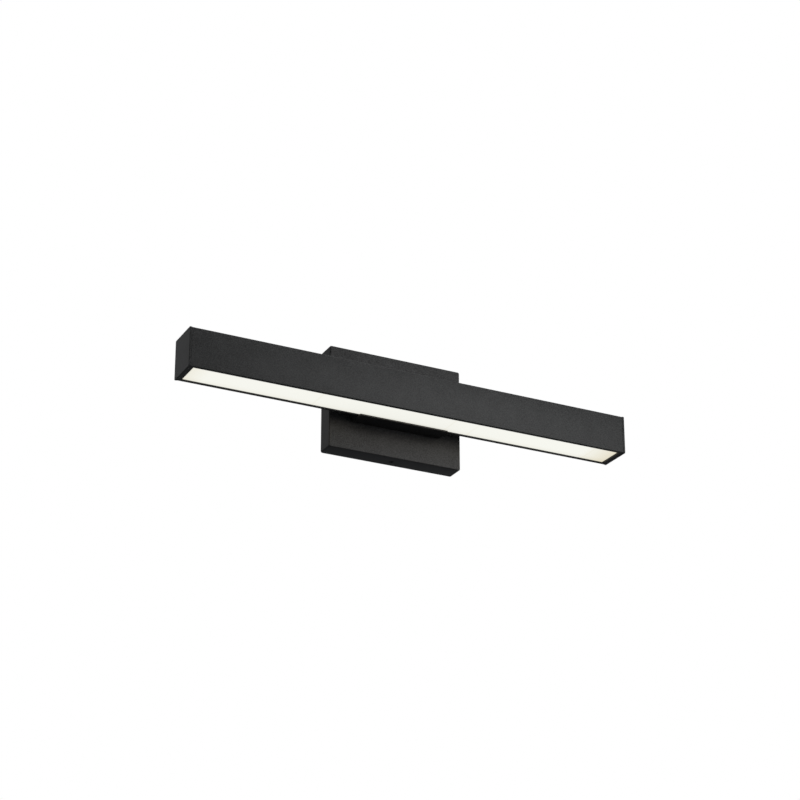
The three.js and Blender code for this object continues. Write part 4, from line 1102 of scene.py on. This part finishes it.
plate_low, plate_high = box("wall_plate")
plate_mid = (plate_low + plate_high) / 2
plate_width, plate_reach, plate_height = plate_high - plate_low
fold_half = plate_width / 2 - plate_corner
up = plate_height / 2
plate_channel = np.array([
    (0, -up), (0, up), (-plate_reach, up), (-plate_reach, up - plate_sheet),
    (-plate_sheet, up - plate_sheet), (-plate_sheet, -up + plate_sheet),
    (-plate_reach, -up + plate_sheet), (-plate_reach, -up),
])
plate_bends = np.full(len(plate_channel), sheared_corner)
plate_bends[:2] = plate_bend + plate_sheet
plate_bends[4:6] = plate_bend
plate_section = rounded_outline(plate_channel, plate_bends, 6)
plate = skin("plate", along(X, plate_section, [-fold_half, fold_half]), at=(0, 0, plate_mid[Z]))
wide = rounded_rectangle(plate_width, plate_height - 2 * plate_corner, plate_corner)
boolean(plate, "UNION", skin("back", along(Y, wide, [-plate_sheet, 0]), at=(0, 0, plate_mid[Z])))
print("wall plate in mm:", np.round((plate_high - plate_low) / mm, 1))

# %% Windows, slots and ground tab
tab_size = 12.0 * mm
tab_place = 15.0 * mm
tab_corner, tab_window_corner = 2.0 * mm, 0.4 * mm
tab_hole = 2.05 * mm
tab_sunk = 0.1 * mm
clear = 1 * mm


def punch(x, z, width, height, radius):
    """A tool for a rounded window through the plate's back."""
    outline = rounded_rectangle(width, height, radius)
    return skin("punch", along(Y, outline, [-2 * plate_sheet, plate_sheet]), at=(x, 0, z))


ground_low, ground_high = box("ground_screw")
ground_axis = (ground_low + ground_high) / 2
tab_left = plate_low[X] + tab_place
tab_right = tab_left + plate_sheet
punches = [punch(tab_right + tab_size / 2, ground_axis[Z], tab_size, tab_size, tab_window_corner)]
window_middle = (spine_width + window_width) / 2
slot_end = slot_share * slot_width
for side in (-1, 1):
    punches += [
        punch(side * window_middle, 0, window_width, window_height, plate_corner),
        punch(side * box_screw_spread, 0, slot_length, slot_width, slot_end),
        punch(0, side * box_screw_spread, slot_width, slot_length, slot_end),
    ]
boolean(plate, "DIFFERENCE", *punches)
tab_outline = rounded_rectangle(2 * (tab_size + plate_sheet - tab_sunk), tab_size, tab_corner)
tab = skin("tab", along(X, tab_outline, [tab_left, tab_right]), at=(0, -tab_sunk, ground_axis[Z]))
behind = block((tab_left - clear, -tab_sunk, 0), (tab_right + clear, 20 * mm, 60 * mm))
boolean(tab, "DIFFERENCE", behind,
        drill(X, (tab_left, *ground_axis[1:]), tab_hole, 4 * plate_sheet))
boolean(plate, "UNION", tab)
finish(plate, "wall_plate_folded", zinc_sheet, "wall_side", ["wall_plate"])

# %% [markdown]
# ## Ground screw
# A hexagonal head on a washer, threaded into the tab and dyed green, as the rules for earthing
# ask. The function that makes the nuts makes its head too, with a bore no wider than a pin.

# %% Ground screw
ground_flats, pinhole_radius = 7.0 * mm, 0.4 * mm
washer_thickness, washer_gap, washer_chamfer = 0.8 * mm, 0.1 * mm, 0.3 * mm
ground_radius, ground_thread = 1.75 * mm, 0.25 * mm
ground_overlap = 0.4 * mm

washer_radius = (ground_high - ground_low)[Y] / 2
ground_place = (0, *ground_axis[1:])
washer_seat = tab_left - washer_gap
washer_top = washer_seat - washer_thickness
ground = hexagon("ground", X, ground_flats, ground_low[X], washer_top + ground_overlap,
                 pinhole_radius, ground_place)
washer = turned("washer", X, [(washer_radius, washer_seat), (washer_radius, washer_top + 0.1 * mm),
                              (washer_radius - washer_chamfer, washer_top)], ground_place)
shank = threaded("shank", X, ground_radius, coarse_pitch, ground_thread, washer_top + 0.1 * mm,
                 ground_high[X], ground_place)
boolean(ground, "UNION", washer, shank)
finish(ground, "ground_screw_turned", green_zinc, "wall_side", ["ground_screw"])

# %% [markdown]
# ## Terminal block and its clamp screws
# A nylon block on a stud, with a bore for each of the three wires and a mouth over each for the
# clamp screw, which bites down on the wire. Grooves part the poles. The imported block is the
# same shape with sharp edges; here they are soft, as a mould leaves them.

# %% Terminal block
poles = 3
foot_length, foot_height, foot_share, foot_corner = 11.0 * mm, 3.0 * mm, 0.35, 2.0 * mm
foot_hole = 1.8 * mm
soft = 0.7 * mm
way_radius, way_share = 2.0 * mm, 0.45
mouth_radius, mouth_share = 2.4 * mm, 0.38

block_low, block_high = box("terminal_block")
body_low = block_low + (foot_length, 0, 0)
body_mid = (body_low + block_high) / 2
body_size = block_high - body_low
pitch = body_size[X] / poles
way_y = block_low[Y] + way_share * body_size[Y]
shell = [rounded_rectangle(body_size[X] - 2 * d, body_size[Z] - 2 * d, soft)
         for d in soft * quarter_in]
levels = np.append([block_low[Y]], block_high[Y] - soft * quarter_up)
terminal = skin("terminal", along(Y, [shell[0], *shell], levels), at=(body_mid[X], 0, body_mid[Z]))
foot = rounded_rectangle(2 * foot_length, 2 * foot_share * body_size[Z], foot_corner)
boolean(terminal, "UNION", skin("foot", along(Y, foot, [block_low[Y], block_low[Y] + foot_height]),
                                at=(block_low[X] + foot_length, 0, body_mid[Z])))

# %% Ways, mouths and grooves of the block
groove_half, groove_start = 0.5 * mm, 0.7

pole_places = [body_mid[X] + (n - 1) * pitch for n in range(poles)]
tools = [drill(Y, (stud_axis[X], block_low[Y], body_mid[Z]), foot_hole, 4 * foot_height)]
for x in pole_places:
    tools.append(drill(Z, (x, way_y, body_mid[Z]), way_radius, 2 * body_size[Z]))
    tools.append(drill(Y, (x, block_high[Y], body_mid[Z]), mouth_radius,
                       2 * mouth_share * body_size[Y]))
for n in range(1, poles):
    x = body_low[X] + n * pitch
    groove_floor = block_low[Y] + groove_start * body_size[Y]
    tools.append(block((x - groove_half, groove_floor, block_low[Z] - clear),
                       (x + groove_half, block_high[Y] + clear, block_high[Z] + clear)))
boolean(terminal, "DIFFERENCE", *tools)
finish(terminal, "terminal_block_moulding", white_nylon, "fixture", ["terminal_block"])

# %% Clamp screws
clamp_radius, clamp_end_radius = 2.2 * mm, 1.9 * mm
clamp_start, clamp_sunk = 1.1 * mm, 1.6 * mm
driver_slot_half, driver_slot_depth = 0.3 * mm, 0.8 * mm

clamp_low, clamp_top = way_y + clamp_start, block_high[Y] - clamp_sunk
for n, x in enumerate(pole_places, 1):
    clamp = turned("clamp", Y, [(clamp_end_radius, clamp_low), (clamp_radius, clamp_low + 0.4 * mm),
                                (clamp_radius, clamp_top - 0.3 * mm),
                                (clamp_end_radius, clamp_top)], (x, 0, body_mid[Z]))
    slot = block((x - 3 * mm, clamp_top - driver_slot_depth, body_mid[Z] - driver_slot_half),
                 (x + 3 * mm, clamp_top + clear, body_mid[Z] + driver_slot_half))
    boolean(clamp, "DIFFERENCE", slot)
    finish(clamp, f"terminal_clamp_screw_{n}", zinc_turned, "fixture")

# %% [markdown]
# ## Leads
# A lead is a circle carried along a smooth curve through a few places. The curve is a centripetal
# Catmull-Rom: between two places it is a cubic, and its speed at each is worked out from the
# places on either side, spaced by the square root of their distances, so it never loops. The
# circle keeps its twist by turning, from ring to ring, only as far as the curve itself turns.
# A Bezier curve drawn by hand would do too, but then its places could not follow the parts.

# %% Routes and tubes


def smooth_route(places, steps=10):
    """Points on a centripetal Catmull-Rom curve through the places, steps for each span. The two
    end places are mirrored to give the curve its direction there."""
    p = np.array(places, float)
    p = np.concatenate([[2 * p[0] - p[1]], p, [2 * p[-1] - p[-2]]])
    gap = np.sqrt(np.linalg.norm(np.diff(p, axis=0), axis=1))[:, None]
    pace = np.diff(p, axis=0) / gap
    knot = pace[:-1] + pace[1:] - (p[2:] - p[:-2]) / (gap[:-1] + gap[1:])
    start, end, span = p[1:-2], p[2:-1], gap[1:-1]
    leave, arrive = knot[:-1] * span, knot[1:] * span
    t = (np.arange(steps) / steps)[:, None, None]
    curve = ((2 * t ** 3 - 3 * t ** 2 + 1) * start + (t ** 3 - 2 * t ** 2 + t) * leave
             + (3 * t ** 2 - 2 * t ** 3) * end + (t ** 3 - t ** 2) * arrive)
    return np.concatenate([curve.transpose(1, 0, 2).reshape(-1, 3), p[-2:-1]])


def tube(name, places, radius, count=20, steps=10):
    """A round tube along a smooth route, with rings square to it."""
    route = smooth_route(places, steps)
    ahead = np.gradient(route, axis=0)
    ahead /= np.linalg.norm(ahead, axis=1, keepdims=True)
    side = np.cross(ahead[0], (0.3, 0.5, 0.8))
    sides = []
    for heading in ahead:
        side = side - heading * (side @ heading)
        side = side / np.linalg.norm(side)
        sides.append(side)
    sides = np.array(sides)
    other = np.cross(ahead, sides)
    ring = circle(radius, count)
    rings = (route[:, None] + ring[None, :, :1] * sides[:, None]
             + ring[None, :, 1:] * other[:, None])
    print(f"{name}: {np.linalg.norm(np.diff(route, axis=0), axis=1).sum() / mm:.0f} mm long")
    return skin(name, rings)


# %% [markdown]
# ## Supply lead
# A grey sheath leaves the terminal block, crosses the canopy, goes through the nipple into the
# bar and on into the driver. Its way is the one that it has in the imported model, apart from the
# last centimetre before the block, where the sheath is stripped and its three wires part.

# %% Supply lead
supply_radius = 2.25 * mm
lead_drop = 7.0 * mm
inside = 5.0 * mm

base_low, base_high = box("driver_base")
lid_low, lid_high = box("driver_lid")
driver_line = (lid_low + lid_high)[Y] / 2
driver_z = base_high[Z] - lead_drop
inlet, outlet = lid_low[X], lid_high[X]
nipple_back, nipple_front, fix_z = nipple_high[Y], nipple_low[Y], fixing[Z]
block_x, block_top = body_mid[X], block_high[Z]
run_y = canopy_floor + way_share * body_size[Y] + 0.1 * mm
supply_start = (block_x + 1.2 * mm, run_y + 1.2 * mm, block_top + 9 * mm)
supply_places = [
    supply_start,
    (block_x + 5 * mm, run_y + 3 * mm, block_top + 14 * mm),
    (block_x + 18 * mm, nipple_back + 9 * mm, fix_z + 1 * mm),
    (-18 * mm, nipple_back + 10.5 * mm, fix_z + 1 * mm),
    (-6 * mm, nipple_back + 8.5 * mm, fix_z),
    (0, nipple_back + 3 * mm, fix_z),
    (0, nipple_back - 1.5 * mm, fix_z),
    (0, (nipple_back + nipple_front) / 2, fix_z),
    (0, nipple_front + 1.5 * mm, fix_z),
    (0.4 * mm, nipple_front - 3 * mm, fix_z),
    (7 * mm, nipple_front - 11 * mm, fix_z + 0.3 * mm),
    (22 * mm, driver_line + 3 * mm, fix_z - 0.4 * mm),
    (40 * mm, driver_line + 0.4 * mm, driver_z),
    (inlet - 6 * mm, driver_line, driver_z),
    (inlet + inside, driver_line, driver_z),
]
supply = tube("supply", supply_places, supply_radius)
finish(supply, "supply_lead_sheath", sheath, "fixture", ["supply_lead"])

# %% [markdown]
# ## Wires
# The three wires start inside the sheath, a little apart, and each bends over to its own way in
# the block. Their insulation is extruded PVC, smoother than the sheath.

# %% Wires
wire_radius = 0.85 * mm
fan = 0.95 * mm

black_wire = grained("black_pvc_wire_extruded", "#16171a", "#1f2023", 1.5 * mm, (0.35, 0.45),
                     depth=0.01 * mm, IOR=1.53)[0]
white_wire = grained("white_pvc_wire_extruded", "#dcdbd5", "#e8e7e2", 1.5 * mm, (0.35, 0.45),
                     depth=0.01 * mm, IOR=1.53)[0]
green_wire = grained("green_pvc_wire_extruded", "#1d6b3a", "#2a8249", 1.5 * mm, (0.35, 0.45),
                     depth=0.01 * mm, IOR=1.53)[0]
wires = [(black_wire, "black", "black_nylon"), (green_wire, "green", "green_ground_steel"),
         (white_wire, "white", "white_nylon")]
for pole, (material, tone, slot) in zip(pole_places, wires):
    lean = np.sign(round(pole - block_x, 6))
    leave = np.array(supply_start) + (lean * fan, 0, 0)
    wire = tube("wire", [
        leave + (0.6 * mm, 0.5 * mm, 2.4 * mm),
        leave,
        (pole - lean * 4 * mm, run_y + 0.5 * mm, block_top + 5.5 * mm),
        (pole, run_y, block_top + 1.5 * mm),
        (pole, way_y, block_top - 3 * mm),
        (pole, way_y, block_top - 7 * mm),
    ], wire_radius, count=12)
    finish(wire, f"supply_wire_{tone}", material, "fixture")

# %% [markdown]
# ## LED lead
# A thinner lead of the same kind leaves the far end of the driver, lies along the tray, dips
# through the grommet and turns back into the board's socket.

# %% LED lead
led_lead_radius = 1.5 * mm

tray_floor, tray_roof = (corner[Z] for corner in box("led_tray"))
socket_low, socket_high = box("board_socket")
socket_mid = (socket_low + socket_high) / 2
lead_hole = np.mean(box("tray_grommet"), axis=0)
run = lead_hole[X] - outlet
sway = driver_line - bar_middle[Y]
led_places = [
    (outlet - inside, driver_line, driver_z),
    (outlet + 0.12 * run, driver_line, driver_z),
    (outlet + 0.4 * run, bar_middle[Y] + 0.6 * sway, driver_z - 3 * mm),
    (outlet + 0.72 * run, bar_middle[Y] + 0.2 * sway, tray_roof + 6.5 * mm),
    (outlet + 0.9 * run, bar_middle[Y], tray_roof + 7.6 * mm),
    (lead_hole[X] - 1.6 * mm, bar_middle[Y], tray_roof + 5.6 * mm),
    (lead_hole[X], bar_middle[Y], tray_roof + 1.4 * mm),
    (lead_hole[X], bar_middle[Y], tray_floor - 0.6 * mm),
    (lead_hole[X] - 1.4 * mm, bar_middle[Y], socket_mid[Z] + 0.9 * mm),
    (socket_high[X] + 2 * mm, bar_middle[Y], socket_mid[Z]),
    (socket_high[X] - 1.8 * mm, bar_middle[Y], socket_mid[Z]),
]
finish(tube("led", led_places, led_lead_radius), "led_lead_sheath", sheath, "fixture",
       ["led_lead"])

# %% [markdown]
# ## LED boards
# Each board is a routed strip with a row of small white packages, and in each package a dish of
# yellow phosphor. One package is made as rings that go down the side, over the lip and up into
# the dish; an Array modifier sets out the row, at the pitch a pick-and-place machine is given.

# %% LED boards
board_thickness, board_corner = 1.6 * mm, 1.0 * mm
chip_length, chip_width, chip_pitch = 3.5 * mm, 2.8 * mm, 12.0 * mm
chip_end_margin = 16.0 * mm
package_corner, lip_corner, lip_width = 0.2 * mm, 0.4 * mm, 0.4 * mm
dish_depth, phosphor_depth = 0.25 * mm, 0.15 * mm
dish_share, phosphor_low_share, phosphor_top_share = 0.9, 0.88, 0.92
board_hole = 1.55 * mm

phosphor = grained("yellow_phosphor_silicone_cast", "#e3c24a", "#efd667", 0.4 * mm, (0.3, 0.4),
                   depth=0.005 * mm, IOR=1.43)[0]


def row(piece, count):
    """Repeats a piece along X at the chips' pitch."""
    step = piece.modifiers.new("row", "ARRAY")
    step.count = count
    step.use_relative_offset = False
    step.use_constant_offset = True
    step.constant_offset_displace = (chip_pitch, 0, 0)
    return bake(piece)


def led_board(side):
    """The board of one side, drilled for its two screws, with its row of packages and dishes."""
    node = f"led_board_{side}"
    low, high = box(node)
    x, y, _ = (low + high) / 2
    length, width = (high - low)[:2]
    face, bottom = low[Z], high[Z] - board_thickness
    board = skin(node, along(Z, rounded_rectangle(length, width, board_corner), [bottom, high[Z]]),
                 at=(x, y, 0))
    places = [np.mean(box(f"board_screw_{side}_{n}"), axis=0)[X] for n in (1, 2)]
    boolean(board, "DIFFERENCE",
            *[drill(Z, (place, y, bottom), board_hole, 5 * board_thickness) for place in places])
    finish(board, node + "_routed", white_board, "fixture", [node])

    gaps = int((length - 2 * chip_end_margin) // chip_pitch)
    first = (x - gaps / 2 * chip_pitch, y, 0)
    package = rounded_rectangle(chip_length, chip_width, package_corner)
    lip = rounded_rectangle(chip_length - 2 * lip_width, chip_width - 2 * lip_width, lip_corner)
    dish_floor = face + dish_depth
    chips = skin("chips", along(Z, [package, package, lip, dish_share * lip],
                                [bottom, face, face, dish_floor]), at=first)
    finish(row(chips, gaps + 1), f"led_packages_{side}", white_nylon, "fixture")
    dishes = skin("dishes", along(Z, [phosphor_low_share * lip, phosphor_top_share * lip],
                                  [dish_floor, dish_floor - phosphor_depth]), at=first)
    finish(row(dishes, gaps + 1), f"led_phosphor_{side}", phosphor, "fixture")


for side in sides:
    led_board(side)

# %% [markdown]
# ## Link and socket of the boards
# Two small nylon mouldings hang from the boards: a link that carries the current across the gap
# between them, and a socket at the far end with a hole for the LED lead. Both are soft-edged
# blocks, so each is a stack of one outline drawn in at its lower face.

# %% Link and socket of the boards
link_corner, link_soft = 0.6 * mm, 0.4 * mm
socket_corner, socket_soft = 0.5 * mm, 0.3 * mm
socket_hole, socket_hole_share = 1.65 * mm, 0.6


def soft_block(node, corner, soft):
    """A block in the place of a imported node, with its lower edges drawn in softly."""
    low, high = box(node)
    stack = soft_stack(*(high - low)[:2], corner, soft)
    levels = np.append([high[Z]], low[Z] + soft * quarter_up)
    return skin(node, along(Z, [stack[0], *stack], levels), at=centre_line(node, Z))


link = soft_block("board_link", link_corner, link_soft)
finish(link, "board_link_moulding", white_nylon, "fixture", ["board_link"])
plug = soft_block("board_socket", socket_corner, socket_soft)
hole_length = 2 * socket_hole_share * (socket_high - socket_low)[X]
boolean(plug, "DIFFERENCE",
        drill(X, (socket_high[X], *socket_mid[1:]), socket_hole, hole_length, 20))
finish(plug, "board_socket_moulding", white_nylon, "fixture", ["board_socket"])

# %% [markdown]
# ## Driver case
# The driver's case is a moulded tray and lid. Each is one stack of outlines: the tray goes up
# its outside, over the rim and down to its floor inside, and the lid down inside its lip, out,
# and over its soft edge to the top. Feet, pegs and lead holes are joined on or cut.

# %% Driver base
case_wall, case_corner, case_soft = 1.5 * mm, 2.0 * mm, 0.5 * mm
case_inner_corner = 0.8 * mm
foot_reach, foot_depth, foot_rise, foot_radius = 9.0 * mm, 14.0 * mm, 2.0 * mm, 1.0 * mm
peg, peg_rise, peg_radius = 4.0 * mm, 2.9 * mm, 0.5 * mm

case_line = centre_line("driver_lid", Z)
case_length, case_depth = (lid_high - lid_low)[:2]
case_outer = soft_stack(case_length, case_depth, case_corner, case_soft)
case_inner = rounded_rectangle(case_length - 2 * case_wall, case_depth - 2 * case_wall,
                               case_inner_corner)
floor_z, rim_z = base_low[Z], base_high[Z]
case_stack = [*case_outer[::-1], case_outer[0], case_inner, case_inner]
case_levels = np.append(floor_z + case_soft * quarter_up[::-1], [rim_z, rim_z, floor_z + case_wall])
case = skin("case", along(Z, case_stack, case_levels), at=case_line)
extras = []
for end in (-1, 1):
    wall_x = case_line[X] + end * (case_length / 2 - case_wall)
    foot_end = wall_x + end * (case_wall + foot_reach)
    extras.append(block((wall_x, driver_line - foot_depth / 2, floor_z),
                        (foot_end, driver_line + foot_depth / 2, floor_z + foot_rise),
                        foot_radius, 4))
    for flank in (-1, 1):
        peg_y = driver_line + flank * (case_depth / 2 - case_wall - peg)
        corner = np.array((wall_x - end * peg, peg_y, 0))
        extras.append(block(corner + (-peg / 2, -peg / 2, floor_z + case_wall / 2),
                            corner + (peg / 2, peg / 2, floor_z + case_wall + peg_rise),
                            peg_radius))
boolean(case, "UNION", *extras)

# %% Holes of the driver base
foot_hole_radius, inlet_radius, outlet_radius = 1.8 * mm, 2.55 * mm, 1.8 * mm

holes = []
for n in (1, 2):
    screw_x = np.mean(box(f"driver_screw_{n}"), axis=0)[X]
    holes.append(drill(Z, (screw_x, driver_line, floor_z), foot_hole_radius, 6 * foot_rise))
for x, radius in ((inlet, inlet_radius), (outlet, outlet_radius)):
    holes.append(drill(X, (x, driver_line, driver_z), radius, 4 * case_wall))
boolean(case, "DIFFERENCE", *holes)
finish(case, "driver_base_moulding", grey_case, "fixture", ["driver_base"])

# %% Driver lid
lid_thickness, lip_gap = 2.0 * mm, 0.3 * mm
lip_corner_outer, lip_corner_inner = 0.6 * mm, 0.3 * mm

outer_inset, inner_inset = 2 * (case_wall + lip_gap), 2 * (2 * case_wall + lip_gap)
lip_outer = rounded_rectangle(case_length - outer_inset, case_depth - outer_inset, lip_corner_outer)
lip_inner = rounded_rectangle(case_length - inner_inset, case_depth - inner_inset, lip_corner_inner)
seat_z = lid_high[Z] - lid_thickness
lid_stack = [lip_inner, lip_inner, lip_outer, lip_outer, case_outer[0], *case_outer]
lid_levels = np.append([seat_z, lid_low[Z], lid_low[Z], seat_z, seat_z],
                       lid_high[Z] - case_soft * quarter_up)
lid = skin("lid", along(Z, lid_stack, lid_levels), at=case_line)
finish(lid, "driver_lid_moulding", grey_case, "fixture", ["driver_lid"])

# %% [markdown]
# ## Driver board and its parts
# Inside the case, a green board carries a taped transformer between two ferrite cores, a choke,
# a film capacitor, a controller and three electrolytic cans in shrunk sleeves. Each is a block
# with round upright edges, or a turned can, because the case hides them. The many small parts
# between them are left out.

# %% Finishes of the board's parts
ferrite = grained("black_ferrite_sintered", "#24252a", "#2f3036", 0.8 * mm, (0.45, 0.6),
                  depth=0.03 * mm, IOR=2.2)[0]
tape = grained("yellow_polyester_tape_wound", "#d9b63c", "#e6c858", 1.2 * mm, (0.25, 0.4),
               depth=0.02 * mm, lay=(1, 6, 1), IOR=1.6)[0]
sleeve = grained("blue_black_pvc_sleeve_shrunk", "#1c2233", "#262e44", 1.5 * mm, (0.3, 0.42),
                 depth=0.01 * mm, IOR=1.53)[0]

# %% Driver board
pcb_corner = 0.6 * mm

pcb_low, pcb_high = box("driver_board")
pcb_size = pcb_high - pcb_low
pcb_top = pcb_low[Z] + board_thickness
pcb_outline = rounded_rectangle(pcb_size[X], pcb_size[Y], pcb_corner)
pcb = skin("pcb", along(Z, pcb_outline, [pcb_low[Z], pcb_top]), at=centre_line("driver_board", Z))
finish(pcb, "driver_board_routed", green_board, "fixture", ["driver_board"])

# %% Transformer, choke, controller and film capacitor
board_half = pcb_size[Y] / 2
headroom = pcb_size[Z]
parts = [
    # name, material, start and end from the lid's near end, front and back as shares of the
    # board's half width, height as a share of the headroom, radius of the upright edges
    ("transformer_winding", tape, (55 * mm, 71 * mm), (-0.63, 0.63), 0.86, 3.0 * mm),
    ("transformer_core_near", ferrite, (52 * mm, 54.9 * mm), (-0.5, 0.5), 1.0, 0.5 * mm),
    ("transformer_core_far", ferrite, (71.1 * mm, 74 * mm), (-0.5, 0.5), 1.0, 0.5 * mm),
    ("choke_winding", tape, (84 * mm, 96 * mm), (-0.56, 0.14), 0.75, 2.0 * mm),
    ("controller_package", ferrite, (100 * mm, 112 * mm), (-0.77, -0.21), 0.4, 0.3 * mm),
    ("filter_capacitor", tape, (30 * mm, 42 * mm), (-0.77, -0.28), 0.65, 0.8 * mm),
]
for name, material, (start, end), (front, back), height, radius in parts:
    part = block((inlet + start, driver_line + front * board_half, pcb_top),
                 (inlet + end, driver_line + back * board_half, pcb_low[Z] + height * headroom),
                 radius, 4)
    finish(part, name, material, "fixture")

# %% Electrolytic capacitors
can_height, can_line = 0.9, 0.4
foot_round, groove_dip, top_chamfer = 0.4 * mm, 0.3 * mm, 0.5 * mm
groove_low, groove_middle, groove_high = 1.6 * mm, 2.0 * mm, 2.4 * mm
cans = [(26 * mm, 0.3), (40 * mm, 0.28), (118 * mm, 0.28)]     # place, share of the half width

can_top = pcb_low[Z] + can_height * headroom
for n, (x, share) in enumerate(cans, 1):
    r = share * board_half
    profile = [(r - foot_round, pcb_top), (r, pcb_top + foot_round), (r, pcb_top + groove_low),
               (r - groove_dip, pcb_top + groove_middle), (r, pcb_top + groove_high),
               (r, can_top - top_chamfer), (r - top_chamfer, can_top)]
    can = turned("can", Z, profile, (inlet + x, driver_line + can_line * board_half, 0))
    finish(can, f"driver_capacitor_{n}", sleeve, "fixture")

# %% [markdown]
# ## Size of the visual model
# The imported model's box and the visual model's box are set side by side, and how far the visual
# one grows past the other is printed.

# %% Size of the visual model
cad_box = [list(cad_low), list(cad_high)]
visual_box = [list(corner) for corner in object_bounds()]
growth = (np.array(visual_box) - np.array(cad_box)) / mm
print("visual box grows by mm:", np.round(growth, 2).tolist())
